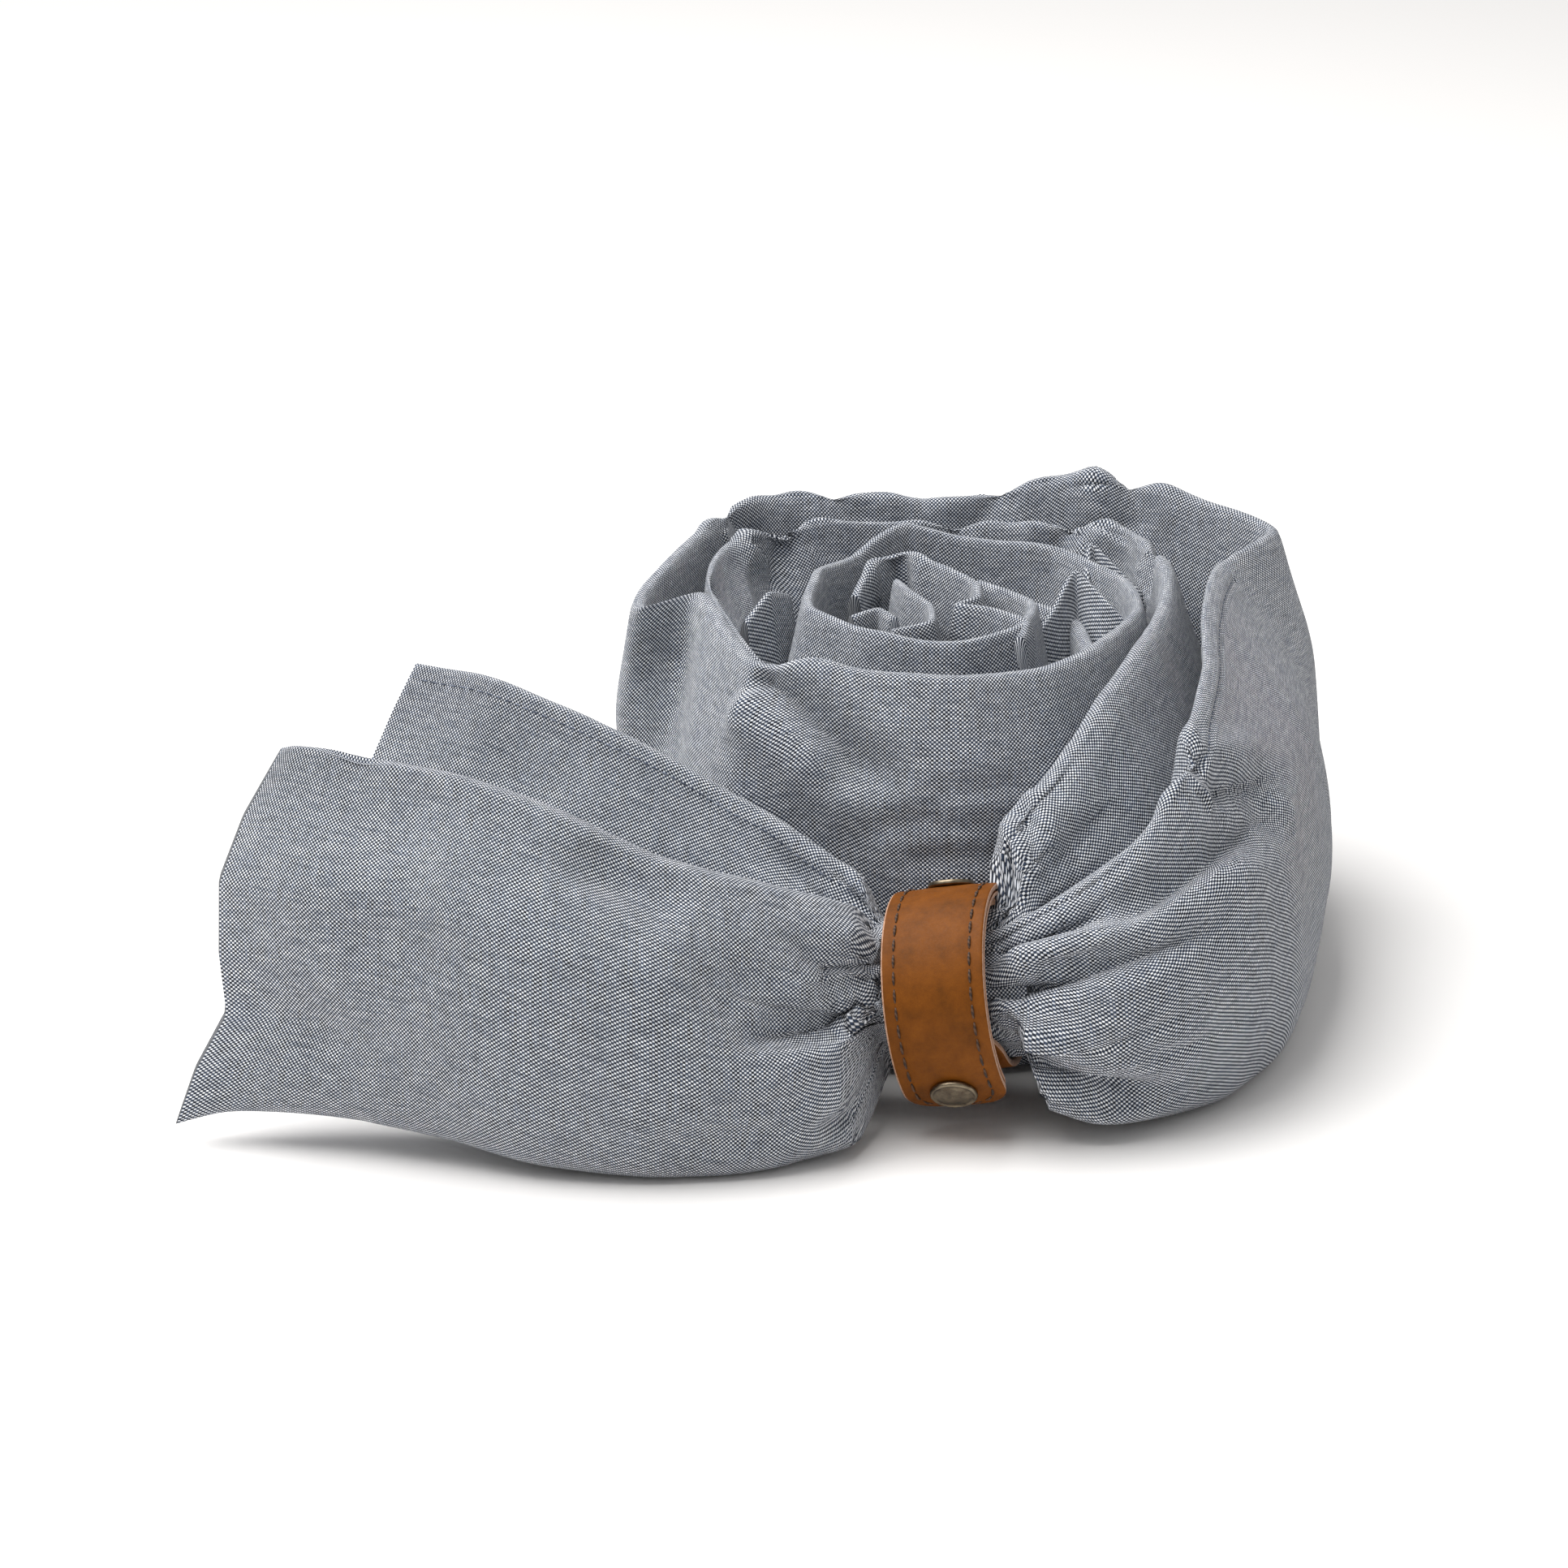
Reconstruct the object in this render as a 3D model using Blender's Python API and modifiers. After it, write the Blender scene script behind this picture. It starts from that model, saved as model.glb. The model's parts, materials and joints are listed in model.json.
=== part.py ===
"""A baby wrap sling, rolled up and held by a leather snap strap.

The wrap is one long cloth. It is folded in half, rolled from the fold outwards on an upright axis, and
both of its ends are gathered and led through a leather ring before they fan out as two soft lobes.
The ring is a front strap of two sewn leathers, riveted to a rear strap at the top and closed on it by a
snap at the bottom front. Lengths are in millimetres until they are built, and +X is to the right,
+Y to the back and +Z up.
"""

import math

import bmesh
import bpy
from mathutils import Euler, Matrix, Vector

MM = 0.001
GAP = 0.4  # left between pieces that touch

# The cloth
FOLDED_WIDTH = 104.0  # the wrap's width after it is folded lengthwise, and so the height of everything
END_LENGTH = 168.0  # of the longer of the two loose ends

# The roll
ROLL_RADIUS = 95.0  # at its widest, at the back right
ROLL_TO_RING = 13.5  # between the front of the roll and the back of the ring
# The height of the cloth along the spiral, from the outside in: (degrees, share of the folded width)
ROLL_HEIGHT = (
    (0, 0.99), (40, 1.0), (150, 0.99), (200, 0.971), (250, 0.952), (400, 0.933), (700, 0.913), (1400, 0.894),
)
PLY_THICKNESS = 17.0  # a doubled, loosely folded length of cloth
CORE_PLY_THICKNESS = 13.0
ROLL_STEP = 9.0  # degrees between sections
TURN_ENDS = (5.0, 250.0, 610.0, 950.0)  # degrees along the spiral where one length ends and the next starts
# The outer radius of the cloth along the spiral, from the outside in: (degrees, share of the roll's radius)
ROLL_OUTLINE = (
    (0, 0.979), (27, 1.0), (60, 0.905), (90, 0.842), (120, 0.853), (145, 0.926), (180, 0.884), (215, 0.884),
    (245, 0.842), (270, 0.811), (300, 0.726), (330, 0.579), (360, 0.505), (400, 0.505), (450, 0.568),
    (500, 0.6), (540, 0.611), (590, 0.568), (630, 0.537), (675, 0.453), (720, 0.358), (770, 0.358),
    (820, 0.379), (870, 0.389), (900, 0.379), (950, 0.326), (1000, 0.284), (1100, 0.232), (1400, 0.211),
)
CORE_RADIUS = 15.0

# The ring of leather round the gathered cloth
RING_FORWARD = 5.0  # of the middle of the ring
RING_LIFT = 4.5  # room under the ring for the flap to swing
RING_YAW = -12.0  # the ring's axis points right and a little to the front
RING_PITCH = 10.0  # and a little upwards
RING_RADIUS = 26.5  # outside of the front strap
STRAP_WIDTH = 25.0
SLIDE = 3.0  # how far the ring slides each way along the gathered cloth
OUTER_LEATHER = 1.7
LINING_LEATHER = 1.0
REAR_LEATHER = 2.0

# Angles round the ring: 0 is the front, 90 the top
SNAP_AT = -40.0
RIVET_AT = 118.0
FLAP_HINGE_AT = -8.0
REAR_FADE = (165.0, 285.0)  # where the rear strap goes from the rivet's radius to the snap's

# The snap and the rivet
CAP_RADIUS = 5.75
CAP_HEIGHT = 1.5
CAP_SHANK_RADIUS = 1.6
SOCKET_RADIUS = 5.0
SOCKET_HEIGHT = 2.5
SOCKET_BORE = 3.5
STUD_HEAD_RADIUS = 2.5
STUD_HEIGHT = 2.3
STUD_BASE_RADIUS = 4.6
STUD_BASE_HEIGHT = 0.6
EYELET_RADIUS = 4.4
EYELET_HEIGHT = 0.5
HOLE_RADIUS = CAP_SHANK_RADIUS + GAP
TURNED_STEPS = 28

# The sewing thread
THREAD_RADIUS = 0.4
SEAM_INSET = 3.0
HINGE_TO_THREAD = 5.0  # degrees from the flap's hinge line to the end of each seam
HEM_WIDTH = 6.0

# Derived sizes
RING_CENTRE = (0.0, -RING_FORWARD, RING_RADIUS + RING_LIFT)
LINING_RADIUS = RING_RADIUS - OUTER_LEATHER - GAP
FRONT_INNER = LINING_RADIUS - LINING_LEATHER
REAR_RADIUS_AT_RIVET = FRONT_INNER - GAP
SOCKET_SEAT = math.sqrt((FRONT_INNER - GAP) ** 2 - SOCKET_RADIUS ** 2)  # a flat disc inside a round strap
REAR_RADIUS_AT_SNAP = SOCKET_SEAT - SOCKET_HEIGHT - GAP - STUD_BASE_HEIGHT - GAP
EYELET_SEAT = math.sqrt((REAR_RADIUS_AT_SNAP - REAR_LEATHER - GAP) ** 2 - EYELET_RADIUS ** 2)
RIVET_SEAT = math.sqrt((REAR_RADIUS_AT_RIVET - REAR_LEATHER - GAP) ** 2 - EYELET_RADIUS ** 2)
NECK_RADIUS = EYELET_SEAT - EYELET_HEIGHT - GAP
END_ARC = math.degrees(0.5 * STRAP_WIDTH / RING_RADIUS)  # a rounded end is half a strap width past its fastener
FLAP_TIP = SNAP_AT - END_ARC
FRONT_END = RIVET_AT + END_ARC
HINGE_GAP_DEG = math.degrees(GAP / RING_RADIUS)
REAR_ARC = math.degrees(0.5 * STRAP_WIDTH / REAR_RADIUS_AT_SNAP)
REAR_START = RIVET_AT - math.degrees(0.5 * STRAP_WIDTH / REAR_RADIUS_AT_RIVET)
REAR_END = 360.0 + SNAP_AT + REAR_ARC
NECK_HALF = 0.5 * STRAP_WIDTH + SLIDE + GAP
BUNDLE_START = NECK_HALF + GAP  # where the loose cloth starts on both sides of the ring
FRONT_SHARE = 0.8105  # of the roll's radius, at its front
ROLL_CENTRE = (4.0, RING_RADIUS - RING_FORWARD + ROLL_TO_RING + FRONT_SHARE * ROLL_RADIUS)

RING_MATRIX = Matrix.Translation(RING_CENTRE) @ Euler(
    (0, math.radians(-RING_PITCH), math.radians(RING_YAW))
).to_matrix().to_4x4()


def clear_scene():
    for obj in list(bpy.data.objects):
        bpy.data.objects.remove(obj)


def new_collection(name):
    collection = bpy.data.collections.new(name)
    bpy.context.scene.collection.children.link(collection)
    return collection


def make_material(name, colour, roughness, metallic=0.0):
    material = bpy.data.materials.new(name)
    material.use_nodes = True
    shader = material.node_tree.nodes["Principled BSDF"]
    shader.inputs["Base Color"].default_value = (*colour, 1.0)
    shader.inputs["Roughness"].default_value = roughness
    shader.inputs["Metallic"].default_value = metallic
    material.diffuse_color = (*colour, 1.0)
    return material


def add_object(name, data, collection, material=None):
    obj = bpy.data.objects.new(name, data)
    collection.objects.link(obj)
    if material:
        data.materials.append(material)
    return obj


def mesh_object(name, bm, collection, material):
    bmesh.ops.recalc_face_normals(bm, faces=bm.faces)
    mesh = bpy.data.meshes.new(name)
    bm.to_mesh(mesh)
    bm.free()
    mesh.shade_smooth()
    mesh.set_sharp_from_angle(angle=math.radians(40))
    return add_object(name, mesh, collection, material)


def attach(obj, parent):
    """Parents an object that was built in its ring or roll coordinates, keeping it in place."""
    offset = parent.location if parent.get("pivot") else Vector()
    obj.parent = parent
    obj.location = obj.location - offset


def interpolate(table, at):
    """A smooth curve through (position, value) pairs."""
    if at <= table[0][0]:
        return table[0][1]
    for i in range(len(table) - 1):
        (a, va), (b, vb) = table[i], table[i + 1]
        if at <= b:
            before = table[max(i - 1, 0)]
            after = table[min(i + 2, len(table) - 1)]
            slope_a = (vb - before[1]) / (b - before[0])
            slope_b = (after[1] - va) / (after[0] - a)
            t = (at - a) / (b - a)
            span = b - a
            return (
                va * (1 + 2 * t) * (1 - t) ** 2 + vb * t * t * (3 - 2 * t)
                + span * (slope_a * t * (1 - t) ** 2 - slope_b * t * t * (1 - t))
            )
    return table[-1][1]


def loft(name, loops, collection, material, subdivisions=0):
    """A closed solid through rings of points, with a face at each end."""
    bm = bmesh.new()
    rings = [[bm.verts.new(Vector(p) * MM) for p in loop] for loop in loops]
    for first, second in zip(rings, rings[1:]):
        for k in range(len(first)):
            n = (k + 1) % len(first)
            bm.faces.new((first[k], first[n], second[n], second[k]))
    bm.faces.new(rings[0])
    bm.faces.new(rings[-1])
    obj = mesh_object(name, bm, collection, material)
    if subdivisions:
        subsurf = obj.modifiers.new("round", "SUBSURF")
        subsurf.levels = subdivisions
        subsurf.render_levels = subdivisions
    return obj


# The rolled cloth


def roll_radius(degrees):
    return ROLL_RADIUS * interpolate(ROLL_OUTLINE, degrees)


def roll_height(degrees):
    return FOLDED_WIDTH * interpolate(ROLL_HEIGHT, degrees)


def by_roll(degrees, radius, height):
    """A point at a height, seen from the roll's axis."""
    turn = math.radians(degrees)
    return (ROLL_CENTRE[0] + radius * math.cos(turn), ROLL_CENTRE[1] + radius * math.sin(turn), height)


def roll_section(degrees, thickness):
    """The cloth's section at one place on the spiral: a wall with a round fold at its top."""
    outer = roll_radius(degrees)
    inner = max(outer - thickness, roll_radius(degrees + 360) + GAP)
    half = 0.5 * (outer - inner)
    middle = 0.5 * (outer + inner)
    shoulder = roll_height(degrees) - half
    section = [(inner, 0.0), (outer, 0.0), (outer, 0.5 * shoulder)]
    for k in range(7):
        angle = math.pi * k / 6
        section.append((middle + half * math.cos(angle), shoulder + half * math.sin(angle)))
    section.append((inner, 0.5 * shoulder))
    return [by_roll(degrees, radius, height) for radius, height in section]


def roll_turn(name, start, end, thickness, collection, material):
    """One length of the rolled cloth, from one place on the spiral to another."""
    count = round((end - start) / ROLL_STEP)
    gap = math.degrees(GAP / roll_radius(end))
    span = end - gap - start
    loops = [roll_section(start + span * i / count, thickness) for i in range(count + 1)]
    return loft(name, loops, collection, material)


def roll_core(collection, material):
    """The fold that the roll starts from, bunched into a bud."""
    profile = ((0, 0), (1.0, 0), (1.0, 0.75), (0.92, 0.9), (0.6, 0.97))
    loops = []
    sides = 16
    top = roll_height(1000)
    for radius, height in profile[1:]:
        loops.append([
            (
                ROLL_CENTRE[0] + CORE_RADIUS * radius * math.cos(2 * math.pi * k / sides),
                ROLL_CENTRE[1] + CORE_RADIUS * radius * math.sin(2 * math.pi * k / sides),
                top * height,
            )
            for k in range(sides)
        ])
    return loft("roll_core", loops, collection, material)


# The loose cloth between the roll, the ring and the two ends


def section(top, bottom, half_thickness, heading):
    """A rounded ring of points round a length of cloth that stands on edge and runs along the heading, in degrees."""
    sides = 12
    top, bottom = Vector(top), Vector(bottom)
    yaw = math.radians(heading)
    across = Vector((-math.sin(yaw), math.cos(yaw), 0)) * half_thickness
    centre, up = 0.5 * (top + bottom), 0.5 * (top - bottom)
    points = []
    for k in range(sides):
        angle = 2 * math.pi * k / sides
        c, s = math.cos(angle), math.sin(angle)
        points.append(
            centre + across * math.copysign(abs(c) ** 0.8, c) + up * math.copysign(abs(s) ** 0.8, s)
        )
    return points


def neck_section(side, half, along=0.0, grow=1.0):
    """Where one length leaves the ring. side is -1 for left and 1 for right, half -1 for front and 1 for back."""
    half_thickness = 0.5 * (NECK_RADIUS - GAP)
    half_height = 0.8 * NECK_RADIUS * grow
    x = side * (BUNDLE_START + along)
    y = half * (half_thickness * grow + GAP)
    top = RING_MATRIX @ Vector((x, y, half_height))
    bottom = RING_MATRIX @ Vector((x, y, -half_height))
    return section(top, bottom, half_thickness * grow, RING_YAW)


def loose_cloth(name, side, half, stations, collection, material):
    loops = [neck_section(side, half), neck_section(side, half, along=3.0, grow=1.15)]
    loops += [section(top, bottom, half_thickness, heading) for top, bottom, half_thickness, heading in stations]
    return loft(name, loops, collection, material, subdivisions=1)


def from_ring(side, along, y, height):
    """A point beside the ring: how far from the gathered cloth's end, its Y, and its share of the folded width."""
    return (side * (BUNDLE_START + along), y, FOLDED_WIDTH * height)


def wrap_end_front(collection, material):
    # Each station: share of the end's length, and the top and bottom as (Y, share of the width);
    # then the bottom's extra reach, the half thickness and the heading
    stations = (
        (0.064, (-12, 0.48), (-30, 0.01), 0, 12, 4),
        (0.2, (-18, 0.635), (-44, 0), 0, 18, 5),
        (0.332, (-21, 0.79), (-50, 0), 0, 22, 2),
        (0.474, (-22, 0.885), (-46, 0), 0, 24, 0),
        (0.629, (-19, 0.933), (-33, 0), 0, 23, -4),
        (0.76, (-16, 0.933), (-24, 0.01), 4, 18, -6),
        (0.855, (-13, 0.942), (-22, 0.01), 14, 11, -6),
        (0.903, (-12, 0.933), (-24, 0.01), 26, 2.5, -8),
    )
    return loose_cloth("wrap_end_front", -1, -1, [
        (
            from_ring(-1, share * END_LENGTH, *top), from_ring(-1, share * END_LENGTH + reach, *bottom),
            half_thickness, heading,
        )
        for share, top, bottom, reach, half_thickness, heading in stations
    ], collection, material)


def wrap_end_back(collection, material):
    # As above, and it lies as far from the roll as the ring does
    stations = (
        (0.064, (12, 0.558), (10, 0.02), 0, 7, -15),
        (0.23, (29, 0.683), (22, 0.01), 0, 8, -25),
        (0.403, (41, 0.76), (34, 0.01), 0, 8, -28),
        (0.594, (56, 0.875), (50, 0.01), 0, 8, -28),
        (0.701, (65, 0.923), (60, 0.01), 0, 6, -28),
        (0.743, (69, 0.933), (64, 0.01), 2, 2.5, -28),
    )
    return loose_cloth("wrap_end_back", -1, 1, [
        (
            from_ring(-1, share * END_LENGTH, *top), from_ring(-1, share * END_LENGTH + reach, *bottom),
            half_thickness, heading,
        )
        for share, top, bottom, reach, half_thickness, heading in stations
    ], collection, material)


def run_in_outer(collection, material):
    stations = [
        (from_ring(1, 10.7, -12, 0.52), from_ring(1, 10.7, -18, 0.01), 12, 6),
        (from_ring(1, 31.7, -6, 0.654), from_ring(1, 33.7, -16, 0), 14, 24),
    ]
    end = 0.5 * (roll_radius(TURN_ENDS[0]) + roll_radius(TURN_ENDS[0]) - PLY_THICKNESS)
    # Further on: degrees round the roll, how far outside the roll's end, height share, half thickness, heading
    for degrees, outside, height, half_thickness, heading in (
        (-55.1, 32.6, 0.788, 14, 52),
        (-37.8, 16.7, 0.894, 12.5, 72),
        (-18.4, 4.0, 0.962, 10, 86),
        (TURN_ENDS[0] - 0.7, 1.7, 0.99, 0.45 * PLY_THICKNESS, 93),
    ):
        foot = by_roll(degrees, end + outside, 0)
        stations.append(((foot[0], foot[1], height * FOLDED_WIDTH), foot, half_thickness, heading))
    return loose_cloth("run_in_outer", 1, -1, stations, collection, material)


def run_in_inner(collection, material):
    stations = [
        (from_ring(1, 10.7, 12, 0.577), from_ring(1, 10.7, 12, 0.01), 7, 14),
        (from_ring(1, 27.7, 28, 0.711), from_ring(1, 27.7, 28, 0), 7, 48),
    ]
    # Further on: degrees round the roll, room to the turn inside it, height share, half thickness, heading
    for degrees, room, height, half_thickness, heading in (
        (-48.5, 8.5, 0.846, 6, 68),
        (-28.9, 4.2, 0.942, 5, 82),
        (-4.0, 3.9, 0.962, 5, 92),
        (24.2, 6.6, 0.952, 4, 102),
    ):
        foot = by_roll(degrees, roll_radius(360 + degrees) + room + half_thickness, 0)
        stations.append(((foot[0], foot[1], height * FOLDED_WIDTH), foot, half_thickness, heading))
    return loose_cloth("run_in_inner", 1, 1, stations, collection, material)


def hem_thread(name, host, path, collection, material):
    """A sewn line that follows its host's surface along a rough path."""
    bpy.context.view_layer.update()
    shown = host.evaluated_get(bpy.context.evaluated_depsgraph_get())
    points = []
    for first, second in zip(path, path[1:]):
        first, second = Vector(first), Vector(second)
        steps = max(1, round((second - first).length / 5))
        points += [first.lerp(second, i / steps) for i in range(steps)]
    points.append(Vector(path[-1]))
    placed = []
    for point in points:
        found, at, normal, _ = shown.closest_point_on_mesh(point * MM)
        if found:
            placed.append(at + normal * (2.0 * GAP + THREAD_RADIUS) * MM)
    return tube(name, placed, collection, material)


def tube(name, points, collection, material):
    """A thread through points in metres."""
    curve = bpy.data.curves.new(name, "CURVE")
    curve.dimensions = "3D"
    curve.bevel_depth = THREAD_RADIUS * MM
    curve.bevel_resolution = 1
    curve.use_fill_caps = True
    spline = curve.splines.new("POLY")
    spline.points.add(len(points) - 1)
    for point, place in zip(spline.points, points):
        point.co = (*place, 1.0)
    return add_object(name, curve, collection, material)


# The leather ring, in the ring's own frame: X along its axis, angle 0 at the front and 90 at the top


def on_ring(x, degrees, radius):
    angle = math.radians(degrees)
    return Vector((x, -radius * math.cos(angle), radius * math.sin(angle)))


def rear_radius(degrees):
    """The rear strap's outer radius, which shrinks so that its far end fits under the snap."""
    start, end = REAR_FADE
    t = min(1.0, max(0.0, (degrees - start) / (end - start)))
    t = t * t * (3 - 2 * t)
    return REAR_RADIUS_AT_RIVET + (REAR_RADIUS_AT_SNAP - REAR_RADIUS_AT_RIVET) * t


def half_width_at(distance_to_tip, radius):
    """Half the strap's width near a rounded end."""
    if distance_to_tip >= radius:
        return radius
    from_centre = radius - distance_to_tip
    return math.sqrt(max(radius ** 2 - from_centre ** 2, 0.04 * radius ** 2))


def strap_length(name, start, end, radius_at, thickness, collection, material, round_start, round_end):
    """A strap bent round the ring, as an open surface that Solidify gives its thickness."""
    half = 0.5 * STRAP_WIDTH
    mean_radius = radius_at(0.5 * (start + end))
    length = math.radians(end - start) * mean_radius
    places = [length * i / 48 for i in range(49)]
    if round_start or round_end:
        places += [half * (1 - math.cos(math.radians(15 * k))) for k in range(1, 6)] if round_start else []
        places += [length - half * (1 - math.cos(math.radians(15 * k))) for k in range(1, 6)] if round_end else []
        places.sort()
    columns = 4
    bm = bmesh.new()
    rows = []
    for place in places:
        width = half
        if round_start:
            width = min(width, half_width_at(place, half))
        if round_end:
            width = min(width, half_width_at(length - place, half))
        degrees = start + math.degrees(place / mean_radius)
        rows.append([
            bm.verts.new(on_ring(width * (2 * k / columns - 1), degrees, radius_at(degrees)) * MM)
            for k in range(columns + 1)
        ])
    for first, second in zip(rows, rows[1:]):
        for k in range(columns):
            bm.faces.new((first[k], second[k], second[k + 1], first[k + 1]))
    obj = mesh_object(name, bm, collection, material)
    outward = obj.data.polygons[0].normal.dot(obj.data.polygons[0].center) > 0
    solidify = obj.modifiers.new("thickness", "SOLIDIFY")
    solidify.thickness = thickness * MM
    solidify.offset = -1.0 if outward else 1.0
    solidify.use_even_offset = True
    return obj


def pierce(obj, degrees, radius, cutters):
    """A hole through a strap at one angle of the ring."""
    bpy.ops.mesh.primitive_cylinder_add(radius=radius * MM, depth=16 * MM, vertices=20)
    cutter = bpy.context.object
    cutter.name = f"{obj.name}_hole"
    for collection in list(cutter.users_collection):
        collection.objects.unlink(cutter)
    cutters.objects.link(cutter)
    cutter.parent = obj.parent
    cutter.location = on_ring(0, degrees, FRONT_INNER) * MM
    if obj.parent.get("pivot"):
        cutter.location -= obj.parent.location
    cutter.rotation_euler = (math.radians(90 - degrees), 0, 0)
    cutter.hide_render = True
    cutter.display_type = "WIRE"
    cut = obj.modifiers.new("hole", "BOOLEAN")
    cut.object = cutter
    cut.solver = "EXACT"


def turned(name, profile, degrees, radius, parent, collection, material):
    """A round piece on the ring's radius at one angle. The profile is (distance from its axis, height outwards)."""
    bm = bmesh.new()
    verts = [bm.verts.new((r * MM, 0, z * MM)) for r, z in profile]
    for first, second in zip(verts, verts[1:]):
        bm.edges.new((first, second))
    mesh = bpy.data.meshes.new(name)
    bm.to_mesh(mesh)
    bm.free()
    obj = add_object(name, mesh, collection, material)
    screw = obj.modifiers.new("turn", "SCREW")
    screw.steps = TURNED_STEPS
    screw.render_steps = TURNED_STEPS
    screw.use_merge_vertices = True
    screw.merge_threshold = 0.00001
    obj.location = on_ring(0, degrees, radius) * MM
    obj.rotation_euler = (math.radians(90 - degrees), 0, 0)
    attach(obj, parent)
    return obj


def domed_cap(name, degrees, shank, parent, collection, material):
    """A domed cap on the strap's outside with a shank through the leather."""
    dome = [(CAP_RADIUS * math.sin(math.radians(a)), 0.55 + (CAP_HEIGHT - 0.55) * math.cos(math.radians(a)))
            for a in (0, 20, 40, 60, 78)]
    profile = dome + [
        (CAP_RADIUS, 0.5),
        (CAP_RADIUS - 0.25, 0.0),
        (CAP_SHANK_RADIUS, 0.0),
        (CAP_SHANK_RADIUS, -shank),
        (0.0, -shank),
    ]
    return turned(name, profile, degrees, RING_RADIUS + GAP, parent, collection, material)


def strap_seam(name, start, fastener, turn, parent, collection, material):
    """The sewn line: down one side of the strap, round its rounded end and back up the other side."""
    inset = 0.5 * STRAP_WIDTH - SEAM_INSET
    radius = RING_RADIUS + GAP + THREAD_RADIUS
    straight = 10 if abs(start - fastener) < 60 else 26
    places = [(-inset, start + (fastener - start) * i / straight) for i in range(straight + 1)]
    for k in range(1, 12):
        angle = math.radians(15 * k)
        places.append((
            -inset * math.cos(angle), fastener + turn * math.degrees(inset * math.sin(angle) / RING_RADIUS)
        ))
    places += [(inset, fastener + (start - fastener) * i / straight) for i in range(straight + 1)]
    obj = tube(name, [on_ring(x, degrees, radius) * MM for x, degrees in places], collection, material)
    attach(obj, parent)


def empty(name, collection, location, rotation=(0, 0, 0), parent=None, pivot=False):
    obj = bpy.data.objects.new(name, None)
    collection.objects.link(obj)
    obj.location = location
    obj.rotation_euler = rotation
    obj.parent = parent
    if pivot:
        obj["pivot"] = True
    return obj


def build_cloth(collection, root):
    cloth = make_material("chambray_cloth", (0.24, 0.27, 0.33), 0.9)
    sewing = make_material("hem_sewing", (0.10, 0.12, 0.16), 0.8)
    outer = run_in_outer(collection, cloth)
    back = wrap_end_back(collection, cloth)
    pieces = [
        roll_turn("roll_outer_turn", TURN_ENDS[0], TURN_ENDS[1], PLY_THICKNESS, collection, cloth),
        roll_turn("roll_middle_turn", TURN_ENDS[1], TURN_ENDS[2], PLY_THICKNESS, collection, cloth),
        roll_turn("roll_inner_turn", TURN_ENDS[2], TURN_ENDS[3], CORE_PLY_THICKNESS, collection, cloth),
        roll_core(collection, cloth),
        outer,
        run_in_inner(collection, cloth),
        wrap_end_front(collection, cloth),
        back,
        build_neck(collection, cloth),
    ]
    down = HEM_WIDTH / FOLDED_WIDTH
    end_path = [from_ring(-1, share * END_LENGTH, y, height - down) for share, y, height in (
        (0.093, 0, 0.62), (0.23, 12, 0.683), (0.403, 24, 0.76), (0.594, 40, 0.875), (0.695, 50, 0.894),
    )]
    inside = roll_radius(TURN_ENDS[0]) - PLY_THICKNESS
    run_in_path = [from_ring(1, 17.7, 10, 0.577 - down)]
    run_in_path += [by_roll(degrees, inside + beyond, (height - down) * FOLDED_WIDTH) for degrees, beyond, height in (
        (-56.9, 26.6, 0.788), (-40.6, 16.2, 0.904), (-20.7, 3, 0.962), (0, 0, 0.981),
    )]
    pieces.append(hem_thread("end_hem_thread", back, end_path, collection, sewing))
    pieces.append(hem_thread("run_in_hem_thread", outer, run_in_path, collection, sewing))
    for piece in pieces:
        piece.parent = root


def build_neck(collection, cloth):
    """The gathered cloth inside the ring."""
    bpy.ops.mesh.primitive_cylinder_add(radius=NECK_RADIUS * MM, depth=2 * NECK_HALF * MM, vertices=28)
    neck = bpy.context.object
    neck.name = "wrap_neck"
    for owner in list(neck.users_collection):
        owner.objects.unlink(neck)
    collection.objects.link(neck)
    neck.data.materials.append(cloth)
    turn = Matrix.Rotation(math.radians(90), 4, "Y")
    neck.matrix_world = Matrix.Translation(Vector(RING_CENTRE) * MM) @ RING_MATRIX.to_3x3().to_4x4() @ turn
    return neck


def build_strap(collection, cutters, ring, flap):
    leather = make_material("tan_leather", (0.33, 0.15, 0.035), 0.45)
    raw = make_material("raw_leather", (0.60, 0.38, 0.24), 0.85)
    sewing = make_material("sewing_thread", (0.06, 0.03, 0.015), 0.7)

    def front(degrees):
        return RING_RADIUS

    def lining(degrees):
        return LINING_RADIUS

    lengths = (
        ("strap_outer_leather", FLAP_HINGE_AT + HINGE_GAP_DEG, FRONT_END, front, OUTER_LEATHER, leather, False, True,
         ring, RIVET_AT),
        ("strap_lining", FLAP_HINGE_AT + HINGE_GAP_DEG, FRONT_END, lining, LINING_LEATHER, raw, False, True,
         ring, RIVET_AT),
        ("rear_strap", REAR_START, REAR_END, rear_radius, REAR_LEATHER, raw, True, True, ring, RIVET_AT),
        ("flap_outer_leather", FLAP_TIP, FLAP_HINGE_AT, front, OUTER_LEATHER, leather, True, False, flap, SNAP_AT),
        ("flap_lining", FLAP_TIP, FLAP_HINGE_AT, lining, LINING_LEATHER, raw, True, False, flap, SNAP_AT),
    )
    for name, start, end, radius_at, thickness, material, round_start, round_end, parent, hole_at in lengths:
        strap = strap_length(name, start, end, radius_at, thickness, collection, material, round_start, round_end)
        attach(strap, parent)
        pierce(strap, hole_at, HOLE_RADIUS, cutters)
        if name == "rear_strap":
            pierce(strap, SNAP_AT, HOLE_RADIUS, cutters)
    strap_seam("strap_thread", FLAP_HINGE_AT + HINGE_TO_THREAD, RIVET_AT, 1, ring, collection, sewing)
    strap_seam("flap_thread", FLAP_HINGE_AT - HINGE_TO_THREAD, SNAP_AT, -1, flap, collection, sewing)


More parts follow.
